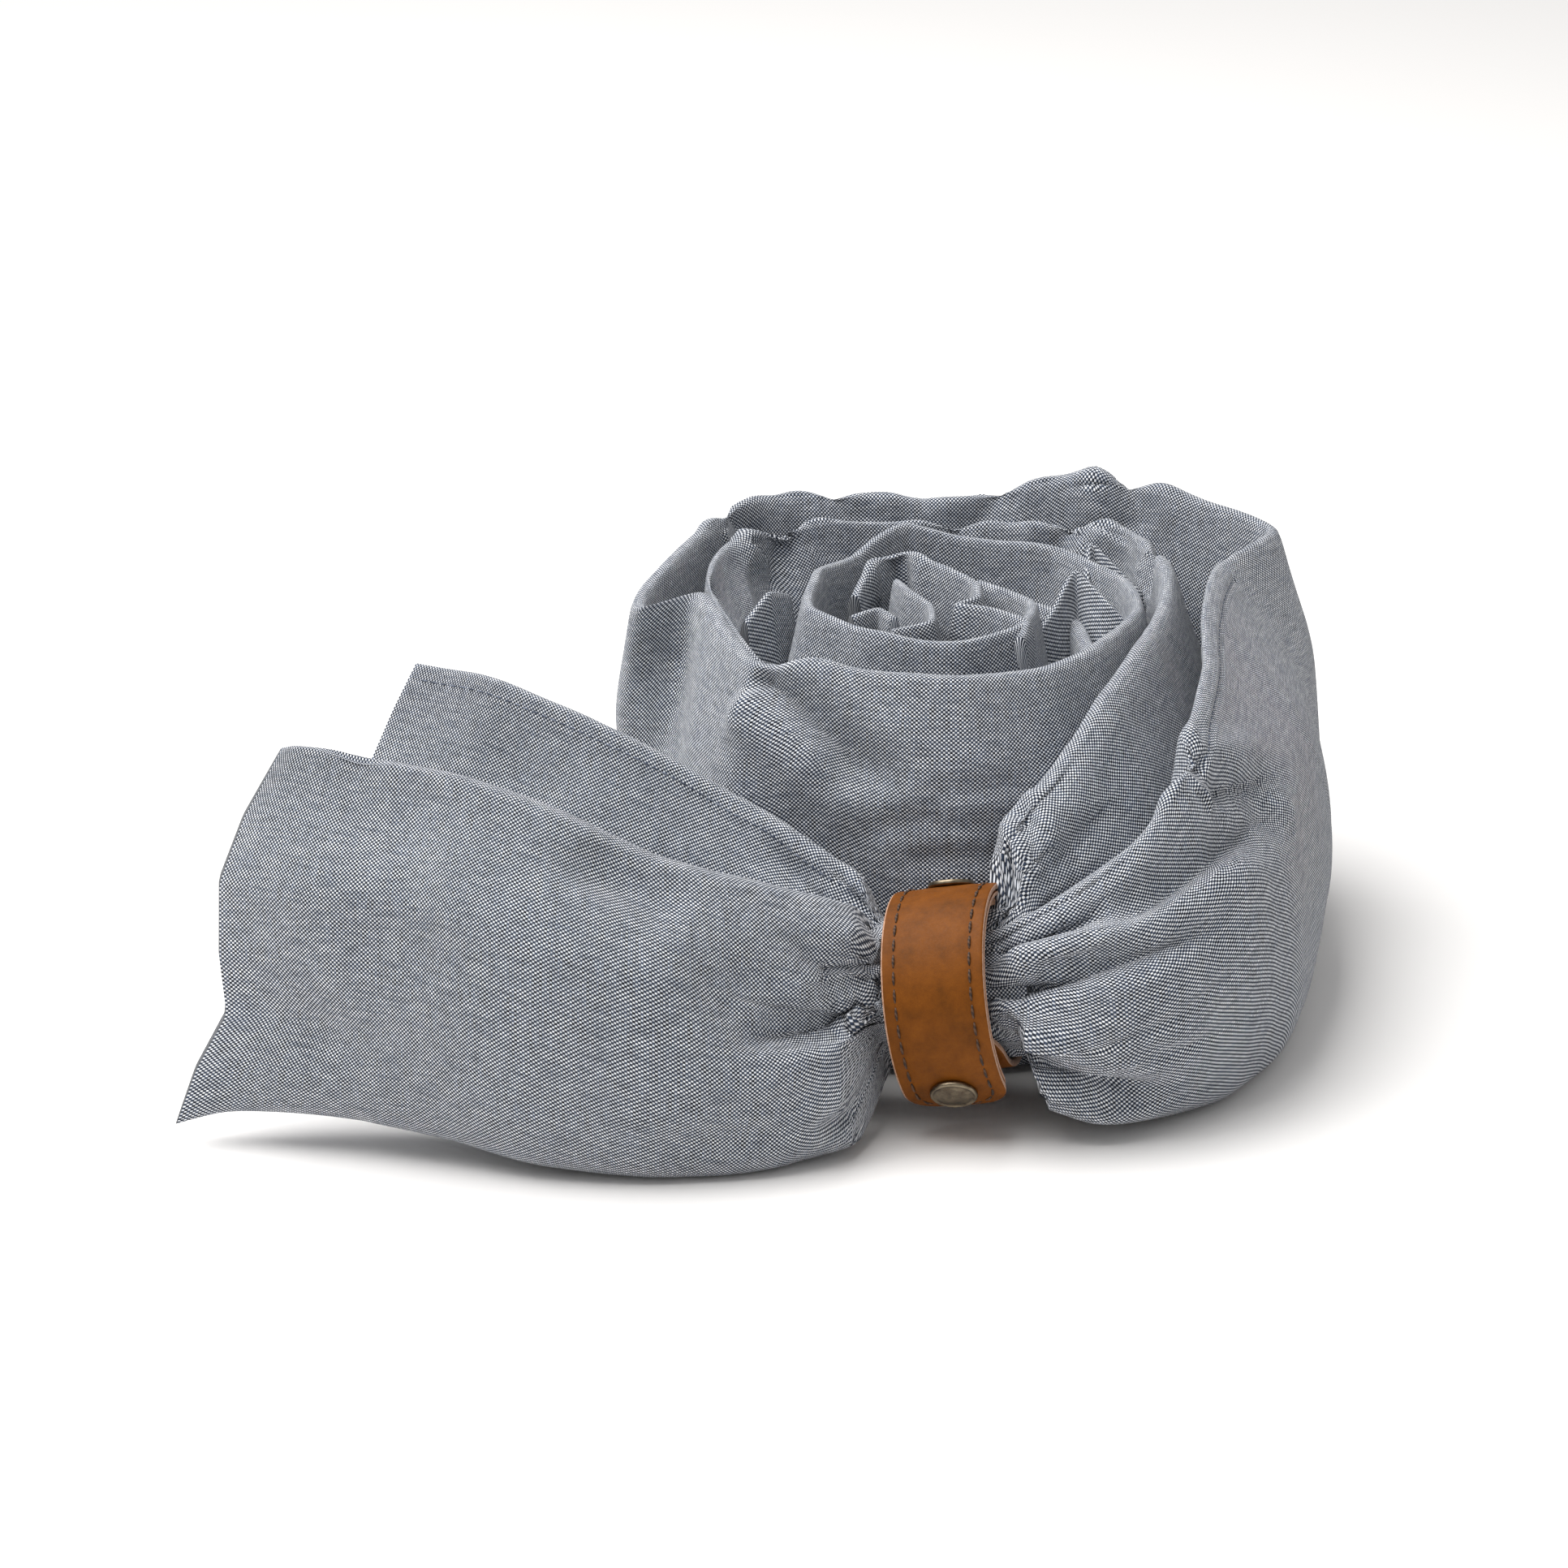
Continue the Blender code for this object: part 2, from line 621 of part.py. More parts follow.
def build_fasteners(collection, ring, flap):
    metal = make_material("antique_brass", (0.30, 0.26, 0.20), 0.35, metallic=1.0)
    domed_cap("snap_cap", SNAP_AT, GAP + OUTER_LEATHER + GAP + LINING_LEATHER, flap, collection, metal)
    turned(
        "snap_socket",
        (
            (CAP_SHANK_RADIUS + GAP, 0.0), (SOCKET_RADIUS, 0.0), (SOCKET_RADIUS, -SOCKET_HEIGHT),
            (SOCKET_BORE, -SOCKET_HEIGHT), (SOCKET_BORE, -0.6), (CAP_SHANK_RADIUS + GAP, -0.6),
            (CAP_SHANK_RADIUS + GAP, 0.0),
        ),
        SNAP_AT, SOCKET_SEAT, flap, collection, metal,
    )
    head_top = STUD_BASE_HEIGHT + STUD_HEIGHT - 0.8
    turned(
        "snap_stud",
        (
            (0.0, head_top), (STUD_HEAD_RADIUS - 0.7, head_top), (STUD_HEAD_RADIUS, head_top - 0.6),
            (STUD_HEAD_RADIUS - 0.5, STUD_BASE_HEIGHT), (STUD_BASE_RADIUS, STUD_BASE_HEIGHT),
            (STUD_BASE_RADIUS, 0.0), (0.0, 0.0),
        ),
        SNAP_AT, REAR_RADIUS_AT_SNAP + GAP, ring, collection, metal,
    )
    back_of("snap_eyelet", REAR_RADIUS_AT_SNAP - EYELET_SEAT, EYELET_SEAT, SNAP_AT, ring, collection, metal)
    back_of("rivet_back", REAR_RADIUS_AT_RIVET - RIVET_SEAT, RIVET_SEAT, RIVET_AT, ring, collection, metal)
    domed_cap("rivet_cap", RIVET_AT, GAP + OUTER_LEATHER + GAP + LINING_LEATHER, ring, collection, metal)


def back_of(name, shank, seat, degrees, ring, collection, metal):
    """The flat inner end of a fastener, with its shank through the rear strap."""
    profile = (
        (0.0, shank), (CAP_SHANK_RADIUS, shank), (CAP_SHANK_RADIUS, 0.0), (EYELET_RADIUS, 0.0),
        (EYELET_RADIUS, -EYELET_HEIGHT), (0.0, -EYELET_HEIGHT),
    )
    turned(name, profile, degrees, seat, ring, collection, metal)


def centre_on_base(root, collection):
    """Moves the model so that the origin is under the middle of its box, on the surface that it lies on."""
    bpy.context.view_layer.update()
    graph = bpy.context.evaluated_depsgraph_get()
    corners = []
    for obj in collection.objects:
        if obj.type in ("MESH", "CURVE"):
            shown = obj.evaluated_get(graph)
            mesh = shown.to_mesh()
            corners += [obj.matrix_world @ vertex.co for vertex in mesh.vertices]
            shown.to_mesh_clear()
    low = [min(c[i] for c in corners) for i in range(3)]
    high = [max(c[i] for c in corners) for i in range(3)]
    root.location = (-0.5 * (low[0] + high[0]), -0.5 * (low[1] + high[1]), -low[2])


def main():
    clear_scene()
    collection = new_collection("baby_wrap_sling")
    cutters = new_collection("cutters")
    root = empty("wrap_frame", collection, (0, 0, 0))
    ring = empty(
        "ring_frame", collection, Vector(RING_CENTRE) * MM, (0, math.radians(-RING_PITCH), math.radians(RING_YAW)),
        root,
    )
    flap = empty(
        "flap_hinge", collection, on_ring(0, FLAP_HINGE_AT, RING_RADIUS) * MM, parent=ring, pivot=True
    )
    build_cloth(collection, root)
    build_strap(collection, cutters, ring, flap)
    build_fasteners(collection, ring, flap)
    centre_on_base(root, collection)


main()
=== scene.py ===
"""The looks of a rolled baby wrap sling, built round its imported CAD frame.

The wrap is one long chambray cloth. It is folded lengthwise, rolled up on edge and held by a leather
strap ring that closes with a snap; its two ends spread out beside the ring. Shapes are laid out in
millimetres from the middle line of the ring, with X to the right, Y to the back and Z up from the table.
"""

from __future__ import annotations

import json
import logging
import math
from dataclasses import dataclass, field
from enum import Enum
from typing import Callable, Sequence

import bpy
import numpy as np
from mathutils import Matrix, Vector


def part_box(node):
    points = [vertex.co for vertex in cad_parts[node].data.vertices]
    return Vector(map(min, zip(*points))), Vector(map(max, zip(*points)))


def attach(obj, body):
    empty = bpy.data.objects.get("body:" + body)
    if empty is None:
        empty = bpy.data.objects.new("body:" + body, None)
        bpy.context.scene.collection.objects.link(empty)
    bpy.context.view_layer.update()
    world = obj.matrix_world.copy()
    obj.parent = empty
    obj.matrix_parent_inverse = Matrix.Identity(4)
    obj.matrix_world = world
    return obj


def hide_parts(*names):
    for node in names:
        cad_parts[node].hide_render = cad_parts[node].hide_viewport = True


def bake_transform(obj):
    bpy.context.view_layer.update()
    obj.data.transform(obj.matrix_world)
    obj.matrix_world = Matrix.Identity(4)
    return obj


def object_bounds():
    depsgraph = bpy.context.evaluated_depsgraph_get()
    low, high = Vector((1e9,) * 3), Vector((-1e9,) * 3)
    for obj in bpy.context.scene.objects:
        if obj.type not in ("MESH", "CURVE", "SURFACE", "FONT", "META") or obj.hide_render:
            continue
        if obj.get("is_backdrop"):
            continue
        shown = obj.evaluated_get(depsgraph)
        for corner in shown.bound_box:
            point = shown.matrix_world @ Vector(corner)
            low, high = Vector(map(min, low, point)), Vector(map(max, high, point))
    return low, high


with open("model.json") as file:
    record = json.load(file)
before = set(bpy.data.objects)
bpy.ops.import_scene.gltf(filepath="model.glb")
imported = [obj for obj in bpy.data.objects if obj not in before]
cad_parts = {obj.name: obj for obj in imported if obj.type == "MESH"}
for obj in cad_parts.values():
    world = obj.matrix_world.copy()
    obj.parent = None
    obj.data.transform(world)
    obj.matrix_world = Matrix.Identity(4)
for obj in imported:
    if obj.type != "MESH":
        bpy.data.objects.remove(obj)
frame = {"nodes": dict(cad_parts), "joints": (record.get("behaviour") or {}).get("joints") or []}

LOG = logging.getLogger("baby_wrap")

MM = 0.001
THREAD_MAP = "thread"
WRAP, BAND, FLAP = "wrap", "band", "flap"
# A round height for the folded cloth, in millimetres, which sets the size of its rumples and gathers
WALL_HEIGHT = 95.0
# Makes a height of 1 about as long as 60 mm, so that a smooth curve treats both directions alike
FOLD_SCALE = np.array([1.0, 60.0])
# The middle of the roll, in millimetres from the ring's middle line
ROLL_MIDDLE = (4.0, 112.0)


# Colours and nodes


def linear(colour: str, alpha: float = 1.0) -> tuple[float, float, float, float]:
    """Turns an sRGB hex colour into the linear one that a shader takes.

    Args:
        colour: Six hex digits after a hash.
        alpha: The fourth value.

    Returns:
        Red, green, blue and alpha.
    """
    values = [int(colour[i : i + 2], 16) / 255 for i in (1, 3, 5)]
    r, g, b = (v / 12.92 if v <= 0.04045 else ((v + 0.055) / 1.055) ** 2.4 for v in values)
    return (r, g, b, alpha)


def add_node(
    tree: bpy.types.NodeTree,
    kind: str,
    links: dict[str | int, bpy.types.NodeSocket] | None = None,
    values: dict[str | int, object] | None = None,
    **settings: object,
) -> bpy.types.Node:
    """Adds one node with its settings, its fixed inputs and its links.

    Args:
        tree: The material's node tree.
        kind: Blender's type name without the ShaderNode prefix.
        links: Input name or number to the socket that feeds it.
        values: Input name or number to a fixed value.
        **settings: Properties of the node itself.

    Returns:
        The new node.
    """
    node = tree.nodes.new("ShaderNode" + kind)
    for name, value in settings.items():
        setattr(node, name, value)
    for name, value in (values or {}).items():
        node.inputs[name].default_value = value
    for name, socket in (links or {}).items():
        tree.links.new(socket, node.inputs[name])
    return node


def new_material(name: str) -> tuple[bpy.types.Material, bpy.types.NodeTree, bpy.types.Node]:
    """Makes a material with its Principled shader.

    Args:
        name: The material's name.

    Returns:
        The material, its node tree and its Principled node.
    """
    material = bpy.data.materials.new(name)
    material.use_nodes = True
    tree = material.node_tree
    return material, tree, tree.nodes["Principled BSDF"]


def ramp(
    tree: bpy.types.NodeTree, socket: bpy.types.NodeSocket, stops: Sequence[tuple[float, str]]
) -> bpy.types.NodeSocket:
    """Turns a value into a colour along a few hex stops.

    Args:
        tree: The material's node tree.
        socket: The value.
        stops: Places from 0 to 1 with their hex colours.

    Returns:
        The colour socket.
    """
    node = add_node(tree, "ValToRGB", {0: socket})
    band = node.color_ramp
    while len(band.elements) < len(stops):
        band.elements.new(0.5)
    for element, (place, colour) in zip(band.elements, stops):
        element.position = place
        element.color = linear(colour)
    return node.outputs["Color"]


# Finishes


@dataclass(frozen=True)
class Chambray:
    """Chambray, a plain weave of indigo-grey warp and undyed weft in soft cotton.

    Matt, with a faint fuzz that lightens it at grazing angles. Thick and thin places in the yarn (slubs)
    give short streaks along both thread directions.
    """

    name: str = "chambray_cloth"
    warp: str = "#0B1220"
    warp_light: str = "#3B475D"
    weft: str = "#BDC2CB"
    weft_light: str = "#F4F6FA"
    # The real threads are 0.4 mm apart; they are drawn 0.5 mm apart so that the weave shows
    pitch_mm: float = 0.5
    slub_length_mm: float = 8.0
    cloud_mm: float = 2.0
    roughness: float = 0.92
    sheen: float = 0.06
    bump_mm: float = 0.16

    def build(self) -> bpy.types.Material:
        """Builds the cloth's material.

        Returns:
            The material, which reads threads from the THREAD_MAP layer in millimetres.
        """
        material, tree, shader = new_material(self.name)
        place = add_node(tree, "UVMap", uv_map=THREAD_MAP)
        counted = add_node(
            tree, "VectorMath", {0: place.outputs["UV"]}, {"Scale": 1.0 / self.pitch_mm}, operation="SCALE"
        )
        number = add_node(tree, "VectorMath", {0: counted.outputs[0]}, operation="FLOOR")
        within = add_node(tree, "VectorMath", {0: counted.outputs[0]}, operation="FRACTION")
        cell = add_node(tree, "SeparateXYZ", {0: number.outputs[0]})
        inside = add_node(tree, "SeparateXYZ", {0: within.outputs[0]})
        along = add_node(tree, "SeparateXYZ", {0: counted.outputs[0]})

        both = add_node(tree, "Math", {0: cell.outputs["X"], 1: cell.outputs["Y"]}, operation="ADD")
        halves = add_node(tree, "Math", {0: both.outputs[0]}, {1: 0.5}, operation="MULTIPLY")
        over = add_node(tree, "Math", {0: halves.outputs[0]}, operation="FRACT")
        weft_on_top = add_node(tree, "Math", {0: over.outputs[0]}, {1: 0.25}, operation="GREATER_THAN")

        # Each crossing is a small pillow
        waves = []
        for axis in ("X", "Y"):
            turn = add_node(tree, "Math", {0: inside.outputs[axis]}, {1: math.pi}, operation="MULTIPLY")
            waves.append(add_node(tree, "Math", {0: turn.outputs[0]}, operation="SINE"))
        pillow = add_node(
            tree, "Math", {0: waves[0].outputs[0], 1: waves[1].outputs[0]}, operation="MULTIPLY"
        )
        height = add_node(tree, "Math", {0: pillow.outputs[0]}, {1: 0.6}, operation="POWER")

        # Slubs: a noise that is different on each thread and changes slowly along it
        slub = self.pitch_mm / self.slub_length_mm
        streaks = []
        for across, lengthwise in (("X", "Y"), ("Y", "X")):
            spread = add_node(tree, "Math", {0: cell.outputs[across]}, {1: 0.731}, operation="MULTIPLY")
            slow = add_node(tree, "Math", {0: along.outputs[lengthwise]}, {1: slub}, operation="MULTIPLY")
            spot = add_node(tree, "CombineXYZ", {"X": spread.outputs[0], "Y": slow.outputs[0]})
            noise = {"Scale": 1.0, "Detail": 2.0, "Roughness": 0.6}
            streaks.append(add_node(tree, "TexNoise", {"Vector": spot.outputs[0]}, noise))
        warp = ramp(tree, streaks[0].outputs["Fac"], ((0.34, self.warp), (0.66, self.warp_light)))
        weft = ramp(tree, streaks[1].outputs["Fac"], ((0.3, self.weft), (0.66, self.weft_light)))
        thread = add_node(
            tree, "Mix", {0: weft_on_top.outputs[0], 6: warp, 7: weft}, data_type="RGBA", blend_type="MIX"
        )
        # Light hardly reaches between the threads
        depth = add_node(
            tree, "MapRange", {0: height.outputs[0]}, {3: 0.3, 4: 1.08}, interpolation_type="SMOOTHSTEP"
        )
        shade = add_node(tree, "CombineColor", {i: depth.outputs[0] for i in range(3)})
        colour = add_node(
            tree, "Mix", {6: thread.outputs[2], 7: shade.outputs[0]}, {0: 1.0},
            data_type="RGBA", blend_type="MULTIPLY",
        )
        # The yarn takes the dye unevenly, which reads as pale and dark clouds a few threads wide
        cloud = add_node(
            tree, "TexNoise", {"Vector": place.outputs["UV"]},
            {"Scale": 1.0 / self.cloud_mm, "Detail": 4.0, "Roughness": 0.75},
        )
        dye = add_node(tree, "MapRange", {0: cloud.outputs["Fac"]}, {1: 0.36, 2: 0.64, 3: 0.82, 4: 1.18})
        dyed = add_node(tree, "CombineColor", {i: dye.outputs[0] for i in range(3)})
        uneven = add_node(
            tree, "Mix", {6: colour.outputs[2], 7: dyed.outputs[0]}, {0: 1.0},
            data_type="RGBA", blend_type="MULTIPLY",
        )
        tree.links.new(uneven.outputs[2], shader.inputs["Base Color"])
        bump = add_node(
            tree, "Bump", {"Height": height.outputs[0]}, {"Strength": 0.55, "Distance": self.bump_mm * MM}
        )
        # Yarn thickness shows as a faint relief that is wider than a thread
        coarse = add_node(
            tree, "TexNoise", {"Vector": place.outputs["UV"]},
            {"Scale": 0.35, "Detail": 3.0, "Roughness": 0.55},
        )
        relief = add_node(
            tree, "Bump", {"Height": coarse.outputs["Fac"], "Normal": bump.outputs[0]},
            {"Strength": 0.35, "Distance": 0.8 * MM},
        )
        tree.links.new(relief.outputs[0], shader.inputs["Normal"])
        shader.inputs["Roughness"].default_value = self.roughness
        shader.inputs["Sheen Weight"].default_value = self.sheen
        shader.inputs["Sheen Roughness"].default_value = 0.5
        shader.inputs["Specular IOR Level"].default_value = 0.25
        return material


@dataclass(frozen=True)
class WaxedLeather:
    """Vegetable-tanned cow leather, waxed on its grain side.

    A satin face with fine pores and creases, darker where the wax lies thicker.
    """

    name: str = "tan_leather"
    dark: str = "#593105"
    middle: str = "#713E08"
    light: str = "#834A0D"
    # The pores of cow leather are about 0.15 mm apart; they are drawn 0.5 mm apart so that they show
    pore_mm: float = 0.5
    # The wax lies in clouds about this wide
    wax_mm: float = 6.25
    roughness: float = 0.56

    def build(self) -> bpy.types.Material:
        """Builds the leather's material.

        Returns:
            The material.
        """
        material, tree, shader = new_material(self.name)
        place = add_node(tree, "TexCoord").outputs["Object"]
        cloud = add_node(
            tree, "TexNoise", {"Vector": place},
            {"Scale": 1.0 / (self.wax_mm * MM), "Detail": 6.0, "Roughness": 0.7},
        )
        colour = ramp(
            tree, cloud.outputs["Fac"], ((0.25, self.dark), (0.5, self.middle), (0.8, self.light))
        )
        pores = add_node(
            tree, "TexVoronoi", {"Vector": place}, {"Scale": 1.0 / (self.pore_mm * MM)},
            feature="DISTANCE_TO_EDGE",
        )
        wrinkle = add_node(
            tree, "TexNoise", {"Vector": place},
            {"Scale": 1700.0, "Detail": 5.0, "Roughness": 0.65, "Distortion": 0.8},
        )
        pits = add_node(tree, "MapRange", {0: pores.outputs["Distance"]}, {1: 0.0, 2: 0.12, 3: 0.7, 4: 1.0})
        tone = add_node(tree, "CombineColor", {i: pits.outputs[0] for i in range(3)})
        darker = add_node(
            tree, "Mix", {6: colour, 7: tone.outputs[0]}, {0: 0.35}, data_type="RGBA", blend_type="MULTIPLY"
        )
        tree.links.new(darker.outputs[2], shader.inputs["Base Color"])
        grain = add_node(tree, "Bump", {"Height": pits.outputs[0]}, {"Strength": 0.25, "Distance": 0.08 * MM})
        creases = add_node(
            tree, "Bump", {"Height": wrinkle.outputs["Fac"], "Normal": grain.outputs[0]},
            {"Strength": 0.3, "Distance": 0.15 * MM},
        )
        tree.links.new(creases.outputs[0], shader.inputs["Normal"])
        gloss = add_node(
            tree, "MapRange", {0: wrinkle.outputs["Fac"]}, {1: 0.3, 2: 0.7, 3: self.roughness - 0.08, 4: 0.64}
        )
        tree.links.new(gloss.outputs[0], shader.inputs["Roughness"])
        shader.inputs["Specular IOR Level"].default_value = 0.14
        return material


@dataclass(frozen=True)
class RawLeather:
    """The cut edge and flesh side of the same leather: dry, pale and fibrous."""

    name: str = "raw_leather"
    dark: str = "#8E5F42"
    light: str = "#CFA487"
    # Bundles of fibre about 0.3 mm wide
    fibre_mm: float = 0.3
    roughness: float = 0.88

    def build(self) -> bpy.types.Material:
        """Builds the raw side's material.

        Returns:
            The material.
        """
        material, tree, shader = new_material(self.name)
        place = add_node(tree, "TexCoord").outputs["Object"]
        fibres = add_node(
            tree, "TexNoise", {"Vector": place},
            {"Scale": 1.0 / (self.fibre_mm * MM) / 3.0, "Detail": 6.0, "Roughness": 0.75, "Distortion": 0.8},
        )
        colour = ramp(tree, fibres.outputs["Fac"], ((0.32, self.dark), (0.62, self.light)))
        tree.links.new(colour, shader.inputs["Base Color"])
        nap = add_node(
            tree, "Bump", {"Height": fibres.outputs["Fac"]}, {"Strength": 0.6, "Distance": 0.2 * MM}
        )
        tree.links.new(nap.outputs[0], shader.inputs["Normal"])
        shader.inputs["Roughness"].default_value = self.roughness
        shader.inputs["Sheen Weight"].default_value = 0.15
        return material


@dataclass(frozen=True)
class AntiqueBrass:
    """Stamped brass, darkened in a chemical bath and tumbled, so that only its high edges stay bright."""

    name: str = "antique_brass"
    dark: str = "#5B5043"
    bright: str = "#A3967F"
    roughness: float = 0.34

    def build(self) -> bpy.types.Material:
        """Builds the metal's material.

        Returns:
            The material.
        """
        material, tree, shader = new_material(self.name)
        place = add_node(tree, "TexCoord").outputs["Object"]
        stain = add_node(
            tree, "TexNoise", {"Vector": place}, {"Scale": 420.0, "Detail": 5.0, "Roughness": 0.6}
        )
        edge = add_node(tree, "NewGeometry").outputs["Pointiness"]
        worn = add_node(tree, "MapRange", {0: edge}, {1: 0.5, 2: 0.62, 3: 0.0, 4: 0.6})
        both = add_node(tree, "Math", {0: stain.outputs["Fac"], 1: worn.outputs[0]}, operation="ADD")
        colour = ramp(tree, both.outputs[0], ((0.35, self.dark), (0.9, self.bright)))
        tree.links.new(colour, shader.inputs["Base Color"])
        scuff = add_node(
            tree, "MapRange", {0: stain.outputs["Fac"]}, {1: 0.3, 2: 0.7, 3: self.roughness - 0.06, 4: 0.46}
        )
        tree.links.new(scuff.outputs[0], shader.inputs["Roughness"])
        shader.inputs["Metallic"].default_value = 1.0
        return material


@dataclass(frozen=True)
class SewingThread:
    """Twisted polyester thread: matt, with a fine diagonal twist."""

    name: str
    colour: str
    light: str
    # The ply of a sewing thread turns about once in 0.8 mm
    twist_mm: float = 0.8
    roughness: float = 0.7

    def build(self) -> bpy.types.Material:
        """Builds the thread's material.

        Returns:
            The material.
        """
        material, tree, shader = new_material(self.name)
        place = add_node(tree, "TexCoord").outputs["Object"]
        twist = add_node(
            tree, "TexWave", {"Vector": place}, {"Scale": 0.3 / (self.twist_mm * MM), "Distortion": 1.5},
            bands_direction="DIAGONAL",
        )
        colour = ramp(tree, twist.outputs["Fac"], ((0.2, self.colour), (0.9, self.light)))
        tree.links.new(colour, shader.inputs["Base Color"])
        bump = add_node(
            tree, "Bump", {"Height": twist.outputs["Fac"]}, {"Strength": 0.5, "Distance": 0.1 * MM}
        )
        tree.links.new(bump.outputs[0], shader.inputs["Normal"])
        shader.inputs["Roughness"].default_value = self.roughness
        return material


@dataclass(frozen=True)
class SeamlessPaper:
    """A roll of white background paper: matt, with a barely visible tooth."""

    name: str = "seamless_paper"
    colour: str = "#F7F5F3"
    roughness: float = 0.95

    def build(self) -> bpy.types.Material:
        """Builds the paper's material.

        Returns:
            The material.
        """
        material, tree, shader = new_material(self.name)
        place = add_node(tree, "TexCoord").outputs["Object"]
        tooth = add_node(tree, "TexNoise", {"Vector": place}, {"Scale": 900.0, "Detail": 2.0})
        bump = add_node(
            tree, "Bump", {"Height": tooth.outputs["Fac"]}, {"Strength": 0.05, "Distance": 0.05 * MM}
        )
        tree.links.new(bump.outputs[0], shader.inputs["Normal"])
        shader.inputs["Base Color"].default_value = linear(self.colour)
        shader.inputs["Roughness"].default_value = self.roughness
        return material


# Shapes


def smooth_step(value: np.ndarray | float) -> np.ndarray:
    """Eases a value between 0 and 1, and holds it there outside."""
    t = np.clip(value, 0.0, 1.0)
    return t * t * (3 - 2 * t)


def smooth_curve(knots: np.ndarray, count: int, crisp: float = 0.0) -> np.ndarray:
    """Runs a smooth curve through rows of values.

    Args:
        knots: One row for each place, whose first two columns are its position.
        count: How many rows to return, evenly spaced along the curve.
        crisp: 0 for round corners, and up to 1 for straight runs between the knots.

    Returns:
        The rows of the curve.
    """
    knots = np.asarray(knots, float)
    gap = np.maximum(np.linalg.norm(np.diff(knots[:, :2], axis=0), axis=1), 1e-6)[:, None]
    slope = np.diff(knots, axis=0) / gap
    inner = (slope[:-1] * gap[1:] + slope[1:] * gap[:-1]) / (gap[:-1] + gap[1:])
    tangent = np.vstack([slope[:1], inner, slope[-1:]]) * (1 - crisp)
    fine = []
    for i in range(len(knots) - 1):
        t = np.linspace(0, 1, 25)[:-1, None]
        fine.append(
            (2 * t**3 - 3 * t**2 + 1) * knots[i]
            + (t**3 - 2 * t**2 + t) * gap[i] * tangent[i]
            + (3 * t**2 - 2 * t**3) * knots[i + 1]
            + (t**3 - t**2) * gap[i] * tangent[i + 1]
        )
    line = np.vstack([*fine, knots[-1:]])
    along = arc_length(line[:, :2])
    at = np.linspace(0, along[-1], count)
    return np.stack([np.interp(at, along, line[:, k]) for k in range(line.shape[1])], axis=1)


def arc_length(line: np.ndarray) -> np.ndarray:
    """The distance along a line of points at each of them."""
    return np.concatenate([[0.0], np.cumsum(np.linalg.norm(np.diff(line, axis=0), axis=1))])


def soft_noise(x: np.ndarray, y: np.ndarray, seed: int) -> np.ndarray:
    """A smooth seeded noise over two coordinates, with features about one unit across.

    Args:
        x: The first coordinate.
        y: The second coordinate.
        seed: Picks one of many patterns.

    Returns:
        Values from about -1 to 1.
    """
    table = np.random.default_rng(seed).uniform(-1, 1, (64, 64))
    x0, y0 = np.floor(x).astype(int), np.floor(y).astype(int)
    tx, ty = smooth_step(x - x0), smooth_step(y - y0)
    corner = [[table[(x0 + i) % 64, (y0 + j) % 64] for j in (0, 1)] for i in (0, 1)]
    low = corner[0][0] * (1 - ty) + corner[0][1] * ty
    high = corner[1][0] * (1 - ty) + corner[1][1] * ty
    return low * (1 - tx) + high * tx


def grid_normals(points: np.ndarray) -> np.ndarray:
    """The unit normals of a grid of points whose last column joins the first, pointing out of the cloth."""
    along = np.gradient(points, axis=0)
    across = np.roll(points, -1, axis=1) - np.roll(points, 1, axis=1)
    normal = np.cross(along, across)
    return normal / np.maximum(np.linalg.norm(normal, axis=2, keepdims=True), 1e-9)


class FoldKind(Enum):
    """How a fold changes the cloth beside its line."""

    CREASE = "crease"  # a pressed-in line with raised shoulders
    HOLLOW = "hollow"  # a wide soft dip
    RIDGE = "ridge"  # a raised line with a narrow top
    LAP = "lap"  # the cloth on the left of the line lies over what is on its right


